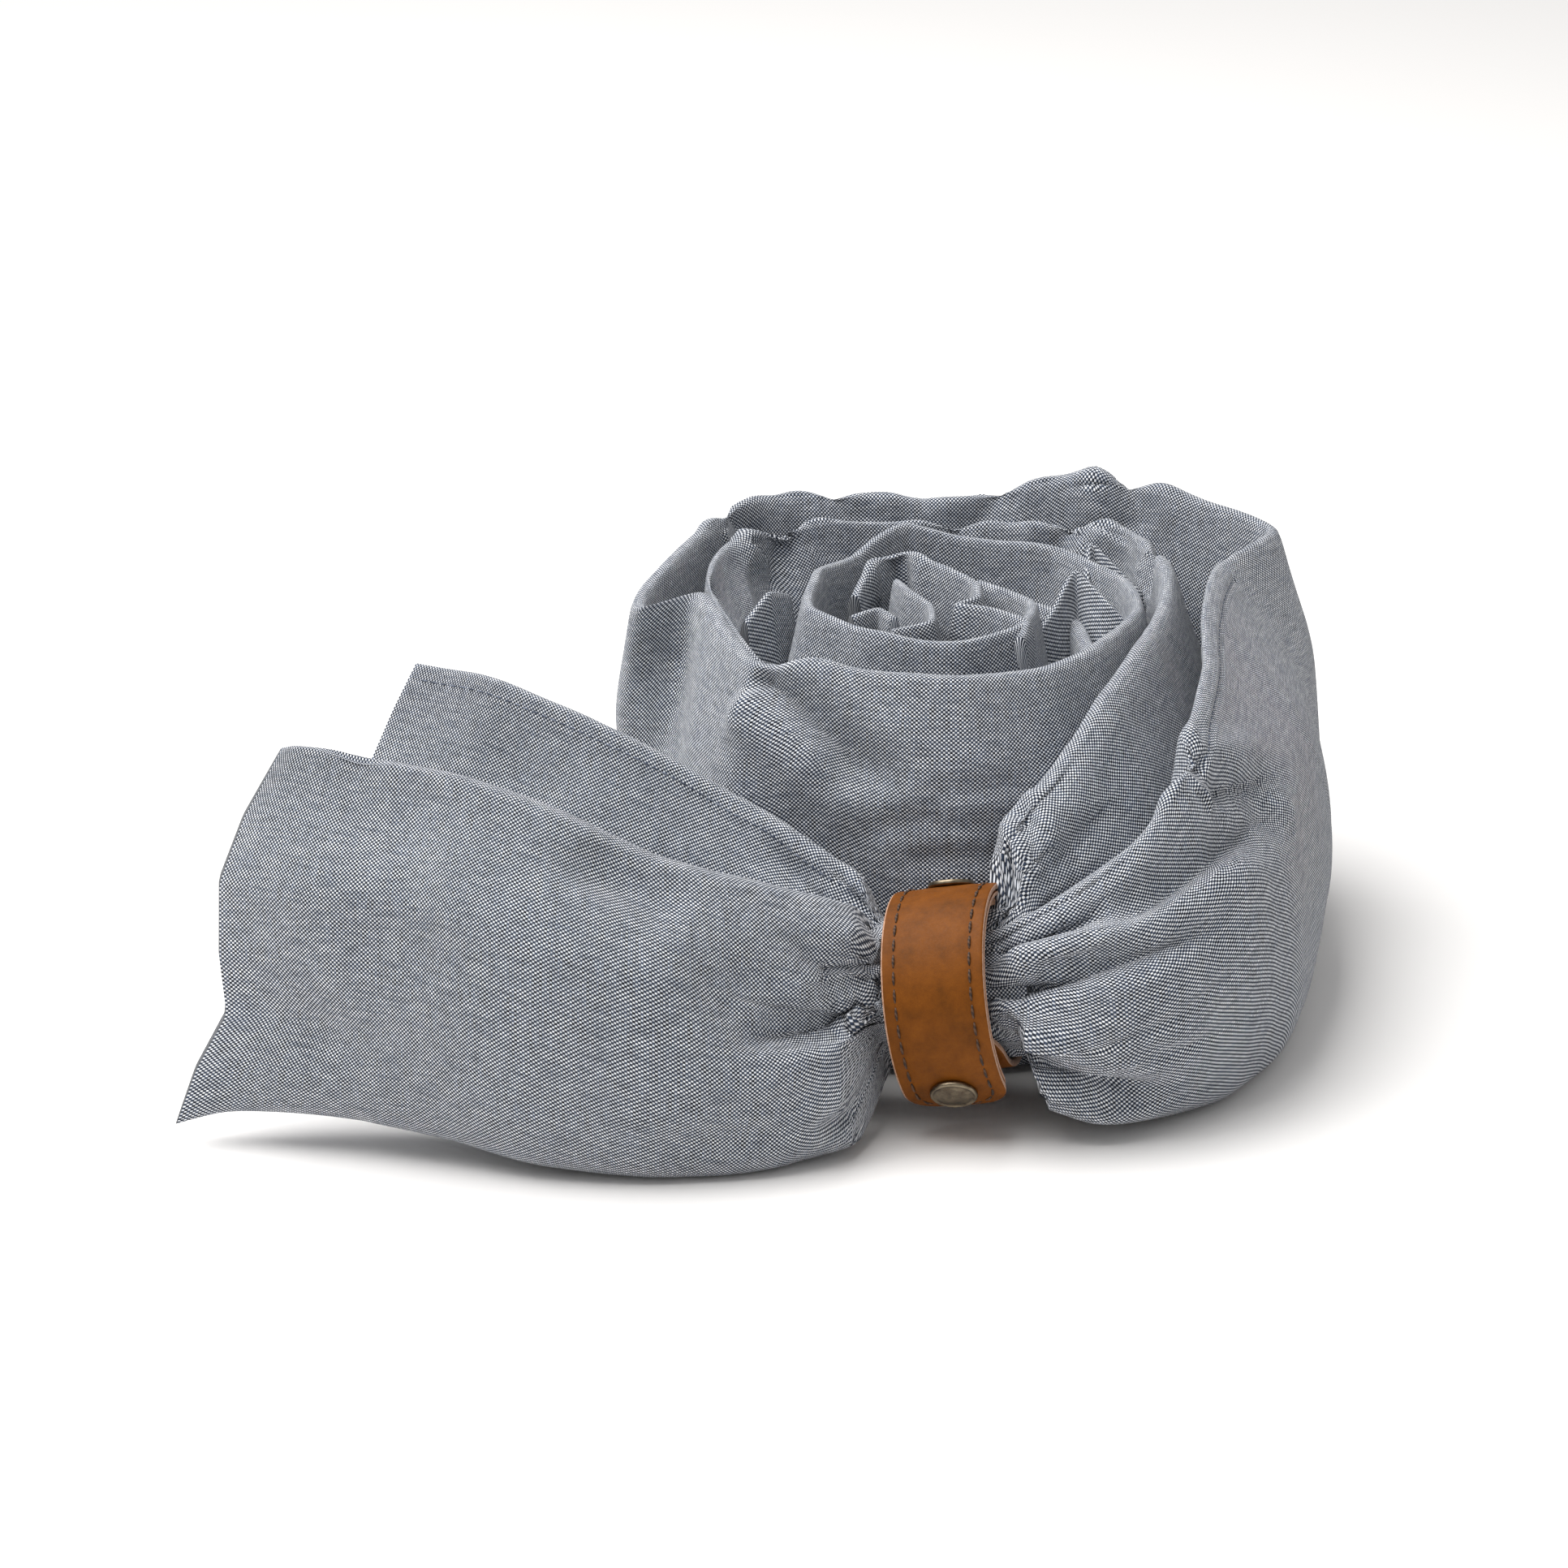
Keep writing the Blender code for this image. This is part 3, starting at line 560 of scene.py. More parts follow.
@dataclass(frozen=True)
class Fold:
    """One fold, drawn on the cloth as a line of (along, height) places.

    Along is in millimetres. Height goes from 0 at the foot to 1 at the top edge on the outer face, and
    on to 2 at the foot of the inner face.
    """

    path: tuple[tuple[float, float], ...]
    depth: float
    width: float
    kind: FoldKind = FoldKind.CREASE
    fade: tuple[float, float] = (0.0, 0.4)  # shares of the line over which it starts and ends

    def lift(self, ply: "Ply", points: np.ndarray, normals: np.ndarray) -> np.ndarray:
        """How far the fold moves each point outwards.

        Args:
            ply: The cloth.
            points: Its grid of points, before the fold.
            normals: The grid's normals.

        Returns:
            The lift in millimetres.
        """
        flat = smooth_curve(np.array(self.path, float) * FOLD_SCALE, 36) / FOLD_SCALE
        line = np.array([ply.sample(points, s, h) for s, h in flat])
        facing = np.array([ply.sample(normals, s, h) for s, h in flat])
        spots, out = points.reshape(-1, 3), normals.reshape(-1, 3)
        lift = np.zeros(len(spots))
        reach = np.linalg.norm(line - line.mean(0), axis=1).max() + 3.2 * self.width
        near = np.flatnonzero(np.linalg.norm(spots - line.mean(0), axis=1) < reach)
        here = spots[near]
        best = np.full(len(near), np.inf)
        place, side, agree = (np.zeros(len(near)) for _ in range(3))
        for i in range(len(line) - 1):
            step = line[i + 1] - line[i]
            t = np.clip(((here - line[i]) @ step) / max(step @ step, 1e-9), 0, 1)
            away = here - line[i] - t[:, None] * step
            far = np.linalg.norm(away, axis=1)
            closer = far < best
            best[closer] = far[closer]
            place[closer] = (i + t[closer]) / (len(line) - 1)
            side[closer] = (away @ np.cross(facing[i], step))[closer]
            agree[closer] = (out[near] @ facing[i])[closer]
        strength = smooth_step((agree + 0.1) / 0.4)
        for share, distance in zip(self.fade, (place, 1 - place)):
            if share > 0:
                strength = strength * smooth_step(distance / share)
        t = best / self.width
        if self.kind is FoldKind.CREASE:
            shape = -np.clip(1 - t, 0, None) ** 1.6 + 0.4 * np.exp(-(((t - 1.35) / 0.6) ** 2))
        elif self.kind is FoldKind.HOLLOW:
            shape = -np.exp(-1.4 * t**2)
        elif self.kind is FoldKind.RIDGE:
            shape = np.clip(1 - t / 2.2, 0, None) ** 2.0
        else:
            over = smooth_step(0.5 + 1.6 * t * np.sign(side))
            shape = over * np.exp(-((t / 2.2) ** 2)) - (1 - over) * 0.4 * np.exp(-((t / 0.8) ** 2))
        lift[near] = self.depth * shape * strength
        return lift.reshape(points.shape[:2])


@dataclass(frozen=True)
class Place:
    """Where the wrap's own millimetres lie in the frame."""

    origin: tuple[float, float, float]

    def metres(self, points: np.ndarray) -> np.ndarray:
        """Turns millimetres from the ring's middle line into metres of the frame."""
        return np.asarray(points, float) * MM + np.array(self.origin)

    def point(self, x: float, y: float, z: float) -> Vector:
        """One point of the frame, from millimetres."""
        return Vector(self.metres(np.array([x, y, z])))


def place_piece(name: str, mesh: bpy.types.Mesh, material: bpy.types.Material) -> bpy.types.Object:
    """Shades a mesh smooth, dresses it in one material and puts it in the scene.

    Args:
        name: The piece's name.
        mesh: Its mesh.
        material: Its finish.

    Returns:
        The new object.
    """
    mesh.shade_smooth()
    mesh.materials.append(material)
    obj = bpy.data.objects.new(name, mesh)
    bpy.context.scene.collection.objects.link(obj)
    return obj


def grid_object(
    name: str, points: np.ndarray, thread: np.ndarray, material: bpy.types.Material
) -> bpy.types.Object:
    """Makes a closed piece from a grid of points whose last column joins the first.

    Args:
        name: The piece's name.
        points: Rows along the piece, columns round it, in metres.
        thread: Each corner's place on the flat cloth in millimetres, with one column more than points.
        material: Its finish.

    Returns:
        The new object.
    """
    rows, columns = points.shape[:2]
    mesh = bpy.data.meshes.new(name)
    index = np.arange(rows * columns).reshape(rows, columns)
    wrapped = np.concatenate([index, index[:, :1]], axis=1)
    faces = np.stack([wrapped[:-1, :-1], wrapped[1:, :-1], wrapped[1:, 1:], wrapped[:-1, 1:]], axis=2)
    faces = faces.reshape(-1, 4).tolist()
    uv = np.stack([thread[:-1, :-1], thread[1:, :-1], thread[1:, 1:], thread[:-1, 1:]], axis=2).reshape(-1, 2)
    # The ends are closed with short strips from side to side, so that a curved end keeps its outline
    caps, cap_uv = [], []
    for row, way in ((0, 1), (rows - 1, -1)):
        for k in range((columns + 1) // 2):
            corners = [k, k + 1, (columns - k - 1) % columns, (columns - k) % columns][::way]
            corners = [c for i, c in enumerate(corners) if c not in corners[:i]]
            if len(corners) > 2:
                caps.append([int(index[row, c]) for c in corners])
                cap_uv.extend(thread[row, c] for c in corners)
    uv = np.vstack([uv, np.array(cap_uv)])
    mesh.from_pydata(points.reshape(-1, 3).tolist(), [], faces + caps)
    layer = mesh.uv_layers.new(name=THREAD_MAP)
    layer.data.foreach_set("uv", uv.astype(np.float32).ravel())
    return place_piece(name, mesh, material)


@dataclass(frozen=True)
class Station:
    """The cloth's section at one place on its way.

    Its foot and top are its lowest and highest points, the outer and inner sizes are half its thickness
    to each side, and the rim is half its thickness near the top fold. Bow swells its whole height
    outwards. Square is 1 for an oval section and less for an upright wall.
    """

    foot: tuple[float, float, float]
    top: tuple[float, float, float]
    outer: float
    inner: float
    rim: float = 3.0
    bow: float = 0.0
    square: float = 0.6

    def row(self) -> list[float]:
        """The sizes as one row of numbers, with the middle of the section first."""
        middle = [0.5 * (self.foot[k] + self.top[k]) for k in (0, 1)]
        return [*middle, *self.foot, *self.top, self.outer, self.inner, self.rim, self.bow, self.square]


class GatherEnd(Enum):
    """Which end of a length of cloth is gathered into the ring."""

    NONE = "none"
    START = "start"
    END = "end"


@dataclass
class Ply:
    """A folded length of the wrap that stands on edge, from station to station."""

    name: str
    stations: tuple[Station, ...]
    folds: tuple[Fold, ...] = ()
    step_mm: float = 1.6
    around: int = 132
    rumple: float = 0.7  # how far the cloth wanders in and out
    rim_rumple: float = 1.2  # how far its top edge wanders up and down
    crisp: float = 0.25
    seed: int = 1
    calm: tuple[float, float] = (20.0, 20.0)  # lengths at the two ends that stay as laid out
    gather_at: GatherEnd = GatherEnd.NONE
    gather_depth: float = 3.2
    gather_count: float = 7.0
    gather_reach: float = 32.0
    thread_reach: int = 5  # rows to each side over which the threads' spacing is averaged
    ring_reach: float = 34.0  # how much of the cloth, in millimetres, the ring can touch
    edge: tuple[tuple[float, float], ...] = ()  # (height, shift in x) of the cloth's cut end at its start
    lowest: float = 0.15  # the least height over the table

    points: np.ndarray = field(init=False, repr=False)
    normals: np.ndarray = field(init=False, repr=False)
    along: np.ndarray = field(init=False, repr=False)

    @property
    def length(self) -> float:
        """The length of the ply in millimetres."""
        return float(self.along[-1])

    def sample(self, grid: np.ndarray, s: float, h: float) -> np.ndarray:
        """Reads a grid of values at a place on the cloth.

        Args:
            grid: One value for each point.
            s: The distance along the cloth in millimetres.
            h: The height, from 0 at the foot to 1 at the top and 2 at the foot of the inner face.

        Returns:
            The value there.
        """
        row = min(max(s / self.along[-1], 0.0), 1.0) * (len(grid) - 1.001)
        turn = math.asin(min(max(2 * (h if h <= 1 else 2 - h) - 1, -1.0), 1.0))
        turn = turn if h <= 1 else math.pi - turn
        column = (turn + 0.5 * math.pi) / (2 * math.pi) * self.around
        i, j = int(row), int(column)
        u, v = row - i, column - j
        a, b = j % self.around, (j + 1) % self.around
        low = grid[i, a] * (1 - v) + grid[i, b] * v
        high = grid[i + 1, a] * (1 - v) + grid[i + 1, b] * v
        return low * (1 - u) + high * u

    def lay_out(self) -> None:
        """Works out the grid of points, with its rumples and folds."""
        knots = np.array([station.row() for station in self.stations])
        rough = smooth_curve(knots, 500, self.crisp)
        count = max(16, round(arc_length(rough[:, :2])[-1] / self.step_mm))
        way = smooth_curve(knots, count, self.crisp)
        s = arc_length(way[:, :2])
        self.along = s
        nine = np.ones(9) / 9
        evened = [np.convolve(np.pad(way[:, k], 4, "edge"), nine, "valid") for k in (0, 1)]
        tangent = np.gradient(np.stack(evened, axis=1), axis=0)
        tangent /= np.maximum(np.linalg.norm(tangent, axis=1, keepdims=True), 1e-9)
        outward = np.stack([tangent[:, 1], -tangent[:, 0], np.zeros(count)], axis=1)[:, None, :]

        turn = np.linspace(-0.5 * math.pi, 1.5 * math.pi, self.around, endpoint=False)[None, :]
        share, cosine = 0.5 + 0.5 * np.sin(turn), np.cos(turn)
        foot, top = way[:, None, 2:5], way[:, None, 5:8].copy()
        outer, inner, rim, bow, square = (way[:, k][:, None] for k in range(8, 13))
        calm = smooth_step((s - self.calm[0]) / 25.0) * smooth_step((s[-1] - self.calm[1] - s) / 25.0)
        wander = soft_noise(s / 29.0, s * 0 + 0.5, self.seed)
        wander = wander + 0.5 * soft_noise(s / 12.0, s * 0 + 3.5, self.seed + 1)
        top[:, 0, 2] += self.rim_rumple * wander * calm
        down = 1 - share
        body = np.where(cosine > 0, outer, inner)
        half = rim + (body - rim) * smooth_step(down / 0.34)
        across = np.sign(cosine) * half * np.abs(cosine) ** square + bow * 4 * share * down
        h = np.where(cosine > 0, share, 2 - share) * WALL_HEIGHT
        slant = s[:, None] + 0.5 * h
        across = across + self.rumple * calm[:, None] * (
            1.1 * soft_noise(slant / 31.0, h / 70.0, self.seed + 2)
            + 0.5 * soft_noise(s[:, None] / 12.0, h / 40.0, self.seed + 3)
            - 1.6 * np.clip(0.25 - np.abs(soft_noise(slant / 26.0, h / 46.0, self.seed + 4)), 0, None)
        )
        across = across + self.gathers(s, h)
        points = foot + (top - foot) * share[:, :, None] + outward * across[:, :, None]
        if self.edge:
            heights, shifts = zip(*self.edge)
            shift = np.interp(share, heights, shifts) * smooth_step(1 - s[:, None] / 55.0)
            points[:, :, 0] += shift
        for fold in self.folds:
            normals = grid_normals(points)
            points = points + normals * fold.lift(self, points, normals)[:, :, None]
        points[:, :, 2] = np.maximum(points[:, :, 2], self.lowest)
        self.points, self.normals = points, grid_normals(points)

    def gathers(self, s: np.ndarray, h: np.ndarray) -> np.ndarray:
        """The small pleats that fan out of the ring.

        Args:
            s: The distance along the cloth at each row.
            h: The height at each point, in millimetres of an average section.

        Returns:
            How far each point moves outwards.
        """
        if self.gather_at is GatherEnd.NONE:
            return np.zeros(h.shape)
        away = (s if self.gather_at is GatherEnd.START else s[-1] - s)[:, None]
        near = np.exp(-((away / self.gather_reach) ** 2))
        near = near + 0.25 * np.exp(-((away / (2.4 * self.gather_reach)) ** 2))
        wander = soft_noise(h / 11.0, away / 60.0 + 7.0, self.seed + 5)
        phase = self.gather_count * h / WALL_HEIGHT + 0.55 * wander
        strength = 0.55 + 0.45 * soft_noise(h / 9.0, away / 70.0, self.seed + 6)
        pleat = np.abs(np.sin(math.pi * phase)) ** 0.7 - 0.6
        return self.gather_depth * near * strength * pleat * np.where(h > WALL_HEIGHT, -1.0, 1.0)

    def threads(self) -> np.ndarray:
        """Each grid corner's place on the flat cloth, in millimetres.

        Returns:
            One more column than there are points, so that the cloth joins up without a smear.
        """
        ring = np.concatenate([self.points, self.points[:, :1]], axis=1)
        steps = np.linalg.norm(np.diff(ring, axis=1), axis=2)
        # Averaged over some rows, so that the threads run past a crease without a zigzag
        reach = self.thread_reach
        padded = np.pad(steps, ((reach + 1, reach), (0, 0)), "edge").cumsum(axis=0)
        steps = (padded[2 * reach + 1 :] - padded[: -2 * reach - 1]) / (2 * reach + 1)
        across = np.concatenate([np.zeros((len(ring), 1)), np.cumsum(steps, axis=1)], axis=1)
        across -= across[:, self.around // 2][:, None]
        # Threads run on evenly where the foot of the cloth is slanted
        along = np.repeat(self.along[:, None], across.shape[1], axis=1)
        return np.stack([along, across], axis=2)

    def build(
        self, material: bpy.types.Material, place: Place,
        make_room: Callable[[np.ndarray], np.ndarray] | None = None,
    ) -> bpy.types.Object:
        """Builds the ply.

        Args:
            material: Its finish.
            place: Where the wrap lies in the frame.
            make_room: Pulls the cloth near the ring out of the ring's way.

        Returns:
            The new object.
        """
        self.lay_out()
        places = place.metres(self.points)
        if make_room is not None:
            away = self.along if self.gather_at is GatherEnd.START else self.along[-1] - self.along
            near = away < self.ring_reach
            places[near] = make_room(places[near])
        return grid_object(self.name, places, self.threads(), material)


def dashes(
    name: str, lines: Sequence[np.ndarray], outs: Sequence[np.ndarray],
    pitch: float, length: float, radius: float, material: bpy.types.Material,
) -> bpy.types.Object:
    """Sews a row of stitches along each line.

    Args:
        name: The piece's name.
        lines: Points along each seam, in metres.
        outs: Each point's outward direction.
        pitch: From one stitch to the next, in metres.
        length: Of the thread seen at each stitch, in metres.
        radius: Of the thread, in metres.
        material: The thread's finish.

    Returns:
        The new object.
    """
    points, faces = [], []
    sides, rings = 7, 6
    for line, out in zip(lines, outs):
        run = arc_length(line)
        for start in np.arange(0.5 * (pitch - length), run[-1] - length, pitch):
            at = np.linspace(start, start + length, rings)
            middle = np.stack([np.interp(at, run, line[:, k]) for k in range(3)], axis=1)
            up = np.stack([np.interp(at, run, out[:, k]) for k in range(3)], axis=1)
            up /= np.linalg.norm(up, axis=1, keepdims=True)
            ahead = np.gradient(middle, axis=0)
            ahead /= np.linalg.norm(ahead, axis=1, keepdims=True)
            beside = np.cross(ahead, up)
            bulge = np.sin(np.linspace(0.0, math.pi, rings))
            # Each stitch dives into the leather or cloth at its two ends
            middle = middle + up * (radius * (0.75 * bulge - 0.55))[:, None]
            thick = radius * (0.55 + 0.45 * bulge)
            base = len(points)
            for i in range(rings):
                for k in range(sides):
                    a = 2 * math.pi * k / sides
                    points.append(middle[i] + thick[i] * (math.cos(a) * beside[i] + math.sin(a) * up[i]))
            for i in range(rings - 1):
                low, high = base + i * sides, base + (i + 1) * sides
                for k in range(sides):
                    n = (k + 1) % sides
                    faces.append((low + k, low + n, high + n, high + k))
            faces.append(tuple(base + k for k in reversed(range(sides))))
            faces.append(tuple(base + (rings - 1) * sides + k for k in range(sides)))
    mesh = bpy.data.meshes.new(name)
    mesh.from_pydata([p.tolist() for p in points], [], faces)
    return place_piece(name, mesh, material)


# The folds, as (along in mm, height) places on each length of cloth

FRONT_END_FOLDS = (
    Fold(((161, 0.64), (142, 0.67), (129, 0.67), (117, 0.71), (104, 0.78)),
         9.0, 13.0, FoldKind.HOLLOW, (0.0, 0.4)),
    Fold(((167, 0.63), (153, 0.62), (140, 0.57), (127, 0.545), (114, 0.525)),
         4.6, 6.5, fade=(0.0, 0.4)),
    Fold(((168, 0.665), (160, 0.71), (155, 0.77)), 4.0, 5.0),
    Fold(((168, 0.86), (156, 0.83), (143, 0.81), (137, 0.84), (130, 0.87)), 4.0, 6.0, FoldKind.CREASE),
    Fold(((168, 0.85), (163, 0.88), (158, 0.925), (155, 0.98)), 3.5, 5.0),
    Fold(((172, 0.14), (161, 0.21), (154, 0.19), (134, 0.18)), 4.5, 6.0),
    Fold(((6, 0.33), (20, 0.29), (44, 0.22)), 2.6, 10.0, FoldKind.HOLLOW, (0.5, 0.6)),
    Fold(((20, 0.55), (48, 0.60), (80, 0.56)), 1.4, 9.0, FoldKind.HOLLOW, (0.4, 0.4)),
    Fold(((86, 0.12), (112, 0.16), (138, 0.22)), 2.0, 8.0, FoldKind.HOLLOW, (0.5, 0.3)),
    Fold(((84, 0.97), (97, 0.94), (112, 0.86)), 3.0, 9.0, FoldKind.HOLLOW, (0.4, 0.3)),
    Fold(((28, 0.99), (34, 0.9), (50, 0.78)), 2.0, 8.0, FoldKind.HOLLOW, (0.0, 0.6)),
    Fold(((75, 0.93), (90, 0.9), (104, 0.92)), 1.8, 6.0, FoldKind.HOLLOW, (0.4, 0.4)),
)
BACK_END_FOLDS = (
    Fold(((138, 0.80), (128, 0.85), (116, 0.9), (104, 0.92)), 3.0, 6.0),
    Fold(((136, 0.9), (128, 0.97), (120, 1.0)), 2.4, 4.0),
    Fold(((30, 0.9), (45, 0.8), (62, 0.76)), 2.0, 9.0, FoldKind.HOLLOW, (0.4, 0.4)),
)
OUTER_RUN_FOLDS = (
    Fold(((6, 0.88), (19, 0.885), (27, 0.90), (33, 0.94)), 3.2, 4.5),
    Fold(((20, 0.86), (33, 0.85), (41, 0.835), (50, 0.815), (65, 0.78), (85, 0.72), (98, 0.66)), 7.0, 7.5,
         FoldKind.HOLLOW, (0.3, 0.2)),
    Fold(((6, 0.84), (19, 0.81), (29, 0.785), (43, 0.775), (61, 0.735), (85, 0.67)), 4.0, 7.0, FoldKind.RIDGE,
         (0.1, 0.4)),
    Fold(((8, 0.6), (22, 0.70), (35, 0.70), (50, 0.66), (68, 0.62)), 6.5, 7.0, FoldKind.HOLLOW, (0.0, 0.5)),
    Fold(((8, 0.6), (17, 0.66), (26, 0.70)), 2.6, 4.0),
    Fold(((10, 0.53), (25, 0.60), (40, 0.60), (62, 0.57)), 3.4, 8.0, FoldKind.RIDGE, (0.0, 0.5)),
    Fold(((8, 0.32), (21, 0.25), (30, 0.20), (44, 0.17)), 6.0, 6.0),
    Fold(((10, 0.42), (22, 0.405), (37, 0.36), (52, 0.30)), 1.6, 4.0, FoldKind.LAP),
    Fold(((62, 0.905), (74, 0.86), (82, 0.81), (96, 0.76), (109, 0.71)),
         4.6, 7.0, fade=(0.2, 0.5)),
    Fold(((64, 1.04), (66, 0.99), (70, 0.94)), 4.0, 7.0, FoldKind.CREASE, (0.0, 0.3)),
    Fold(((174, 0.965), (120, 0.965), (68, 0.96)), 0.6, 1.2, FoldKind.CREASE, (0.0, 0.0)),
    Fold(((536, 0.72), (524, 0.80), (516, 0.86), (508, 0.93), (500, 0.99)),
         5.0, 8.0, fade=(0.3, 0.1)),
    Fold(((522, 0.74), (512, 0.81), (504, 0.88), (496, 0.95)), 3.0, 9.0, FoldKind.RIDGE, (0.3, 0.2)),
    Fold(((440, 0.93), (458, 0.75), (470, 0.5)), 2.6, 11.0, FoldKind.HOLLOW, (0.3, 0.5)),
    Fold(((520, 0.62), (540, 0.66), (558, 0.655), (580, 0.65)), 1.8, 3.8, FoldKind.HOLLOW, (0.3, 0.3)),
    Fold(((530, 0.56), (548, 0.58), (572, 0.57)), 1.8, 3.8, FoldKind.HOLLOW, (0.3, 0.3)),
    Fold(((538, 0.73), (566, 0.75)), 1.4, 3.8, FoldKind.HOLLOW, (0.3, 0.3)),
    Fold(((252, 0.99), (250, 1.05), (247, 1.14)), 2.4, 7.0),
    Fold(((262, 0.99), (260, 1.06), (258, 1.14)), 2.0, 7.0, FoldKind.RIDGE),
    Fold(((286, 0.99), (292, 1.06), (296, 1.14)), 2.0, 8.0),
    Fold(((332, 0.99), (326, 1.06), (322, 1.12)), 2.4, 8.0),
    Fold(((366, 0.99), (360, 1.08), (352, 1.16)), 2.4, 8.0),
)
INNER_RUN_FOLDS = (
    Fold(((6, 0.88), (10, 0.95), (13, 1.02)), 3.0, 4.0),
    Fold(((12, 0.84), (22, 0.86), (35, 0.87), (46, 0.84)), 1.8, 5.0, FoldKind.LAP),
    Fold(((20, 1.0), (17, 0.93), (16, 0.87)), 2.6, 4.0),
    Fold(((196, 0.99), (200, 1.06), (203, 1.14)), 2.2, 7.0),
    Fold(((186, 0.99), (190, 1.07), (190, 1.15)), 2.2, 7.0, FoldKind.RIDGE),
    Fold(((160, 0.99), (156, 1.06), (152, 1.14)), 2.0, 7.0),
    Fold(((228, 0.99), (232, 1.08), (236, 1.15)), 2.0, 7.0),
    Fold(((276, 0.99), (281, 1.08), (288, 1.15)), 3.0, 8.0),
    Fold(((289, 1.0), (300, 1.10), (314, 1.2)), 3.0, 9.0, FoldKind.RIDGE),
    Fold(((330, 1.04), (338, 1.12), (350, 1.2)), 3.0, 8.0, FoldKind.HOLLOW),
)
BACK_HEMS: tuple[tuple[tuple[float, float], ...], ...] = (((4, 0.965), (60, 0.965), (132, 0.95)),)
OUTER_HEMS: tuple[tuple[tuple[float, float], ...], ...] = (((70, 0.962), (120, 0.965), (173, 0.965)),)
INNER_HEMS: tuple[tuple[tuple[float, float], ...], ...] = (((330, 1.04), (360, 1.04), (392, 1.04)),)


# The wrap


@dataclass(frozen=True)
class Finishes:
    """The materials of the whole object."""

    cloth: bpy.types.Material
    leather: bpy.types.Material
    raw: bpy.types.Material
    brass: bpy.types.Material
    seam: bpy.types.Material
    hem: bpy.types.Material

    @classmethod
    def build(cls) -> "Finishes":
        """Builds every material once."""
        return cls(
            cloth=Chambray().build(),
            leather=WaxedLeather().build(),
            raw=RawLeather().build(),
            brass=AntiqueBrass().build(),
            seam=SewingThread("leather_thread", "#2E1D12", "#5A3D28").build(),
            hem=SewingThread("hem_thread", "#3A4252", "#707888").build(),
        )


def upright(
    rows: Sequence[tuple[float, float, float, float, float]], half: tuple[float, float], rim: float = 2.6
) -> tuple[Station, ...]:
    """Makes stations for a length of cloth with one thickness.

    Args:
        rows: The foot's x and y, then the top's x, y and z.
        half: Half the thickness to the outer and the inner side.
        rim: Half the thickness at the top.

    Returns:
        The stations.
    """
    return tuple(Station((fx, fy, 0.0), (tx, ty, tz), *half, rim=rim) for fx, fy, tx, ty, tz in rows)


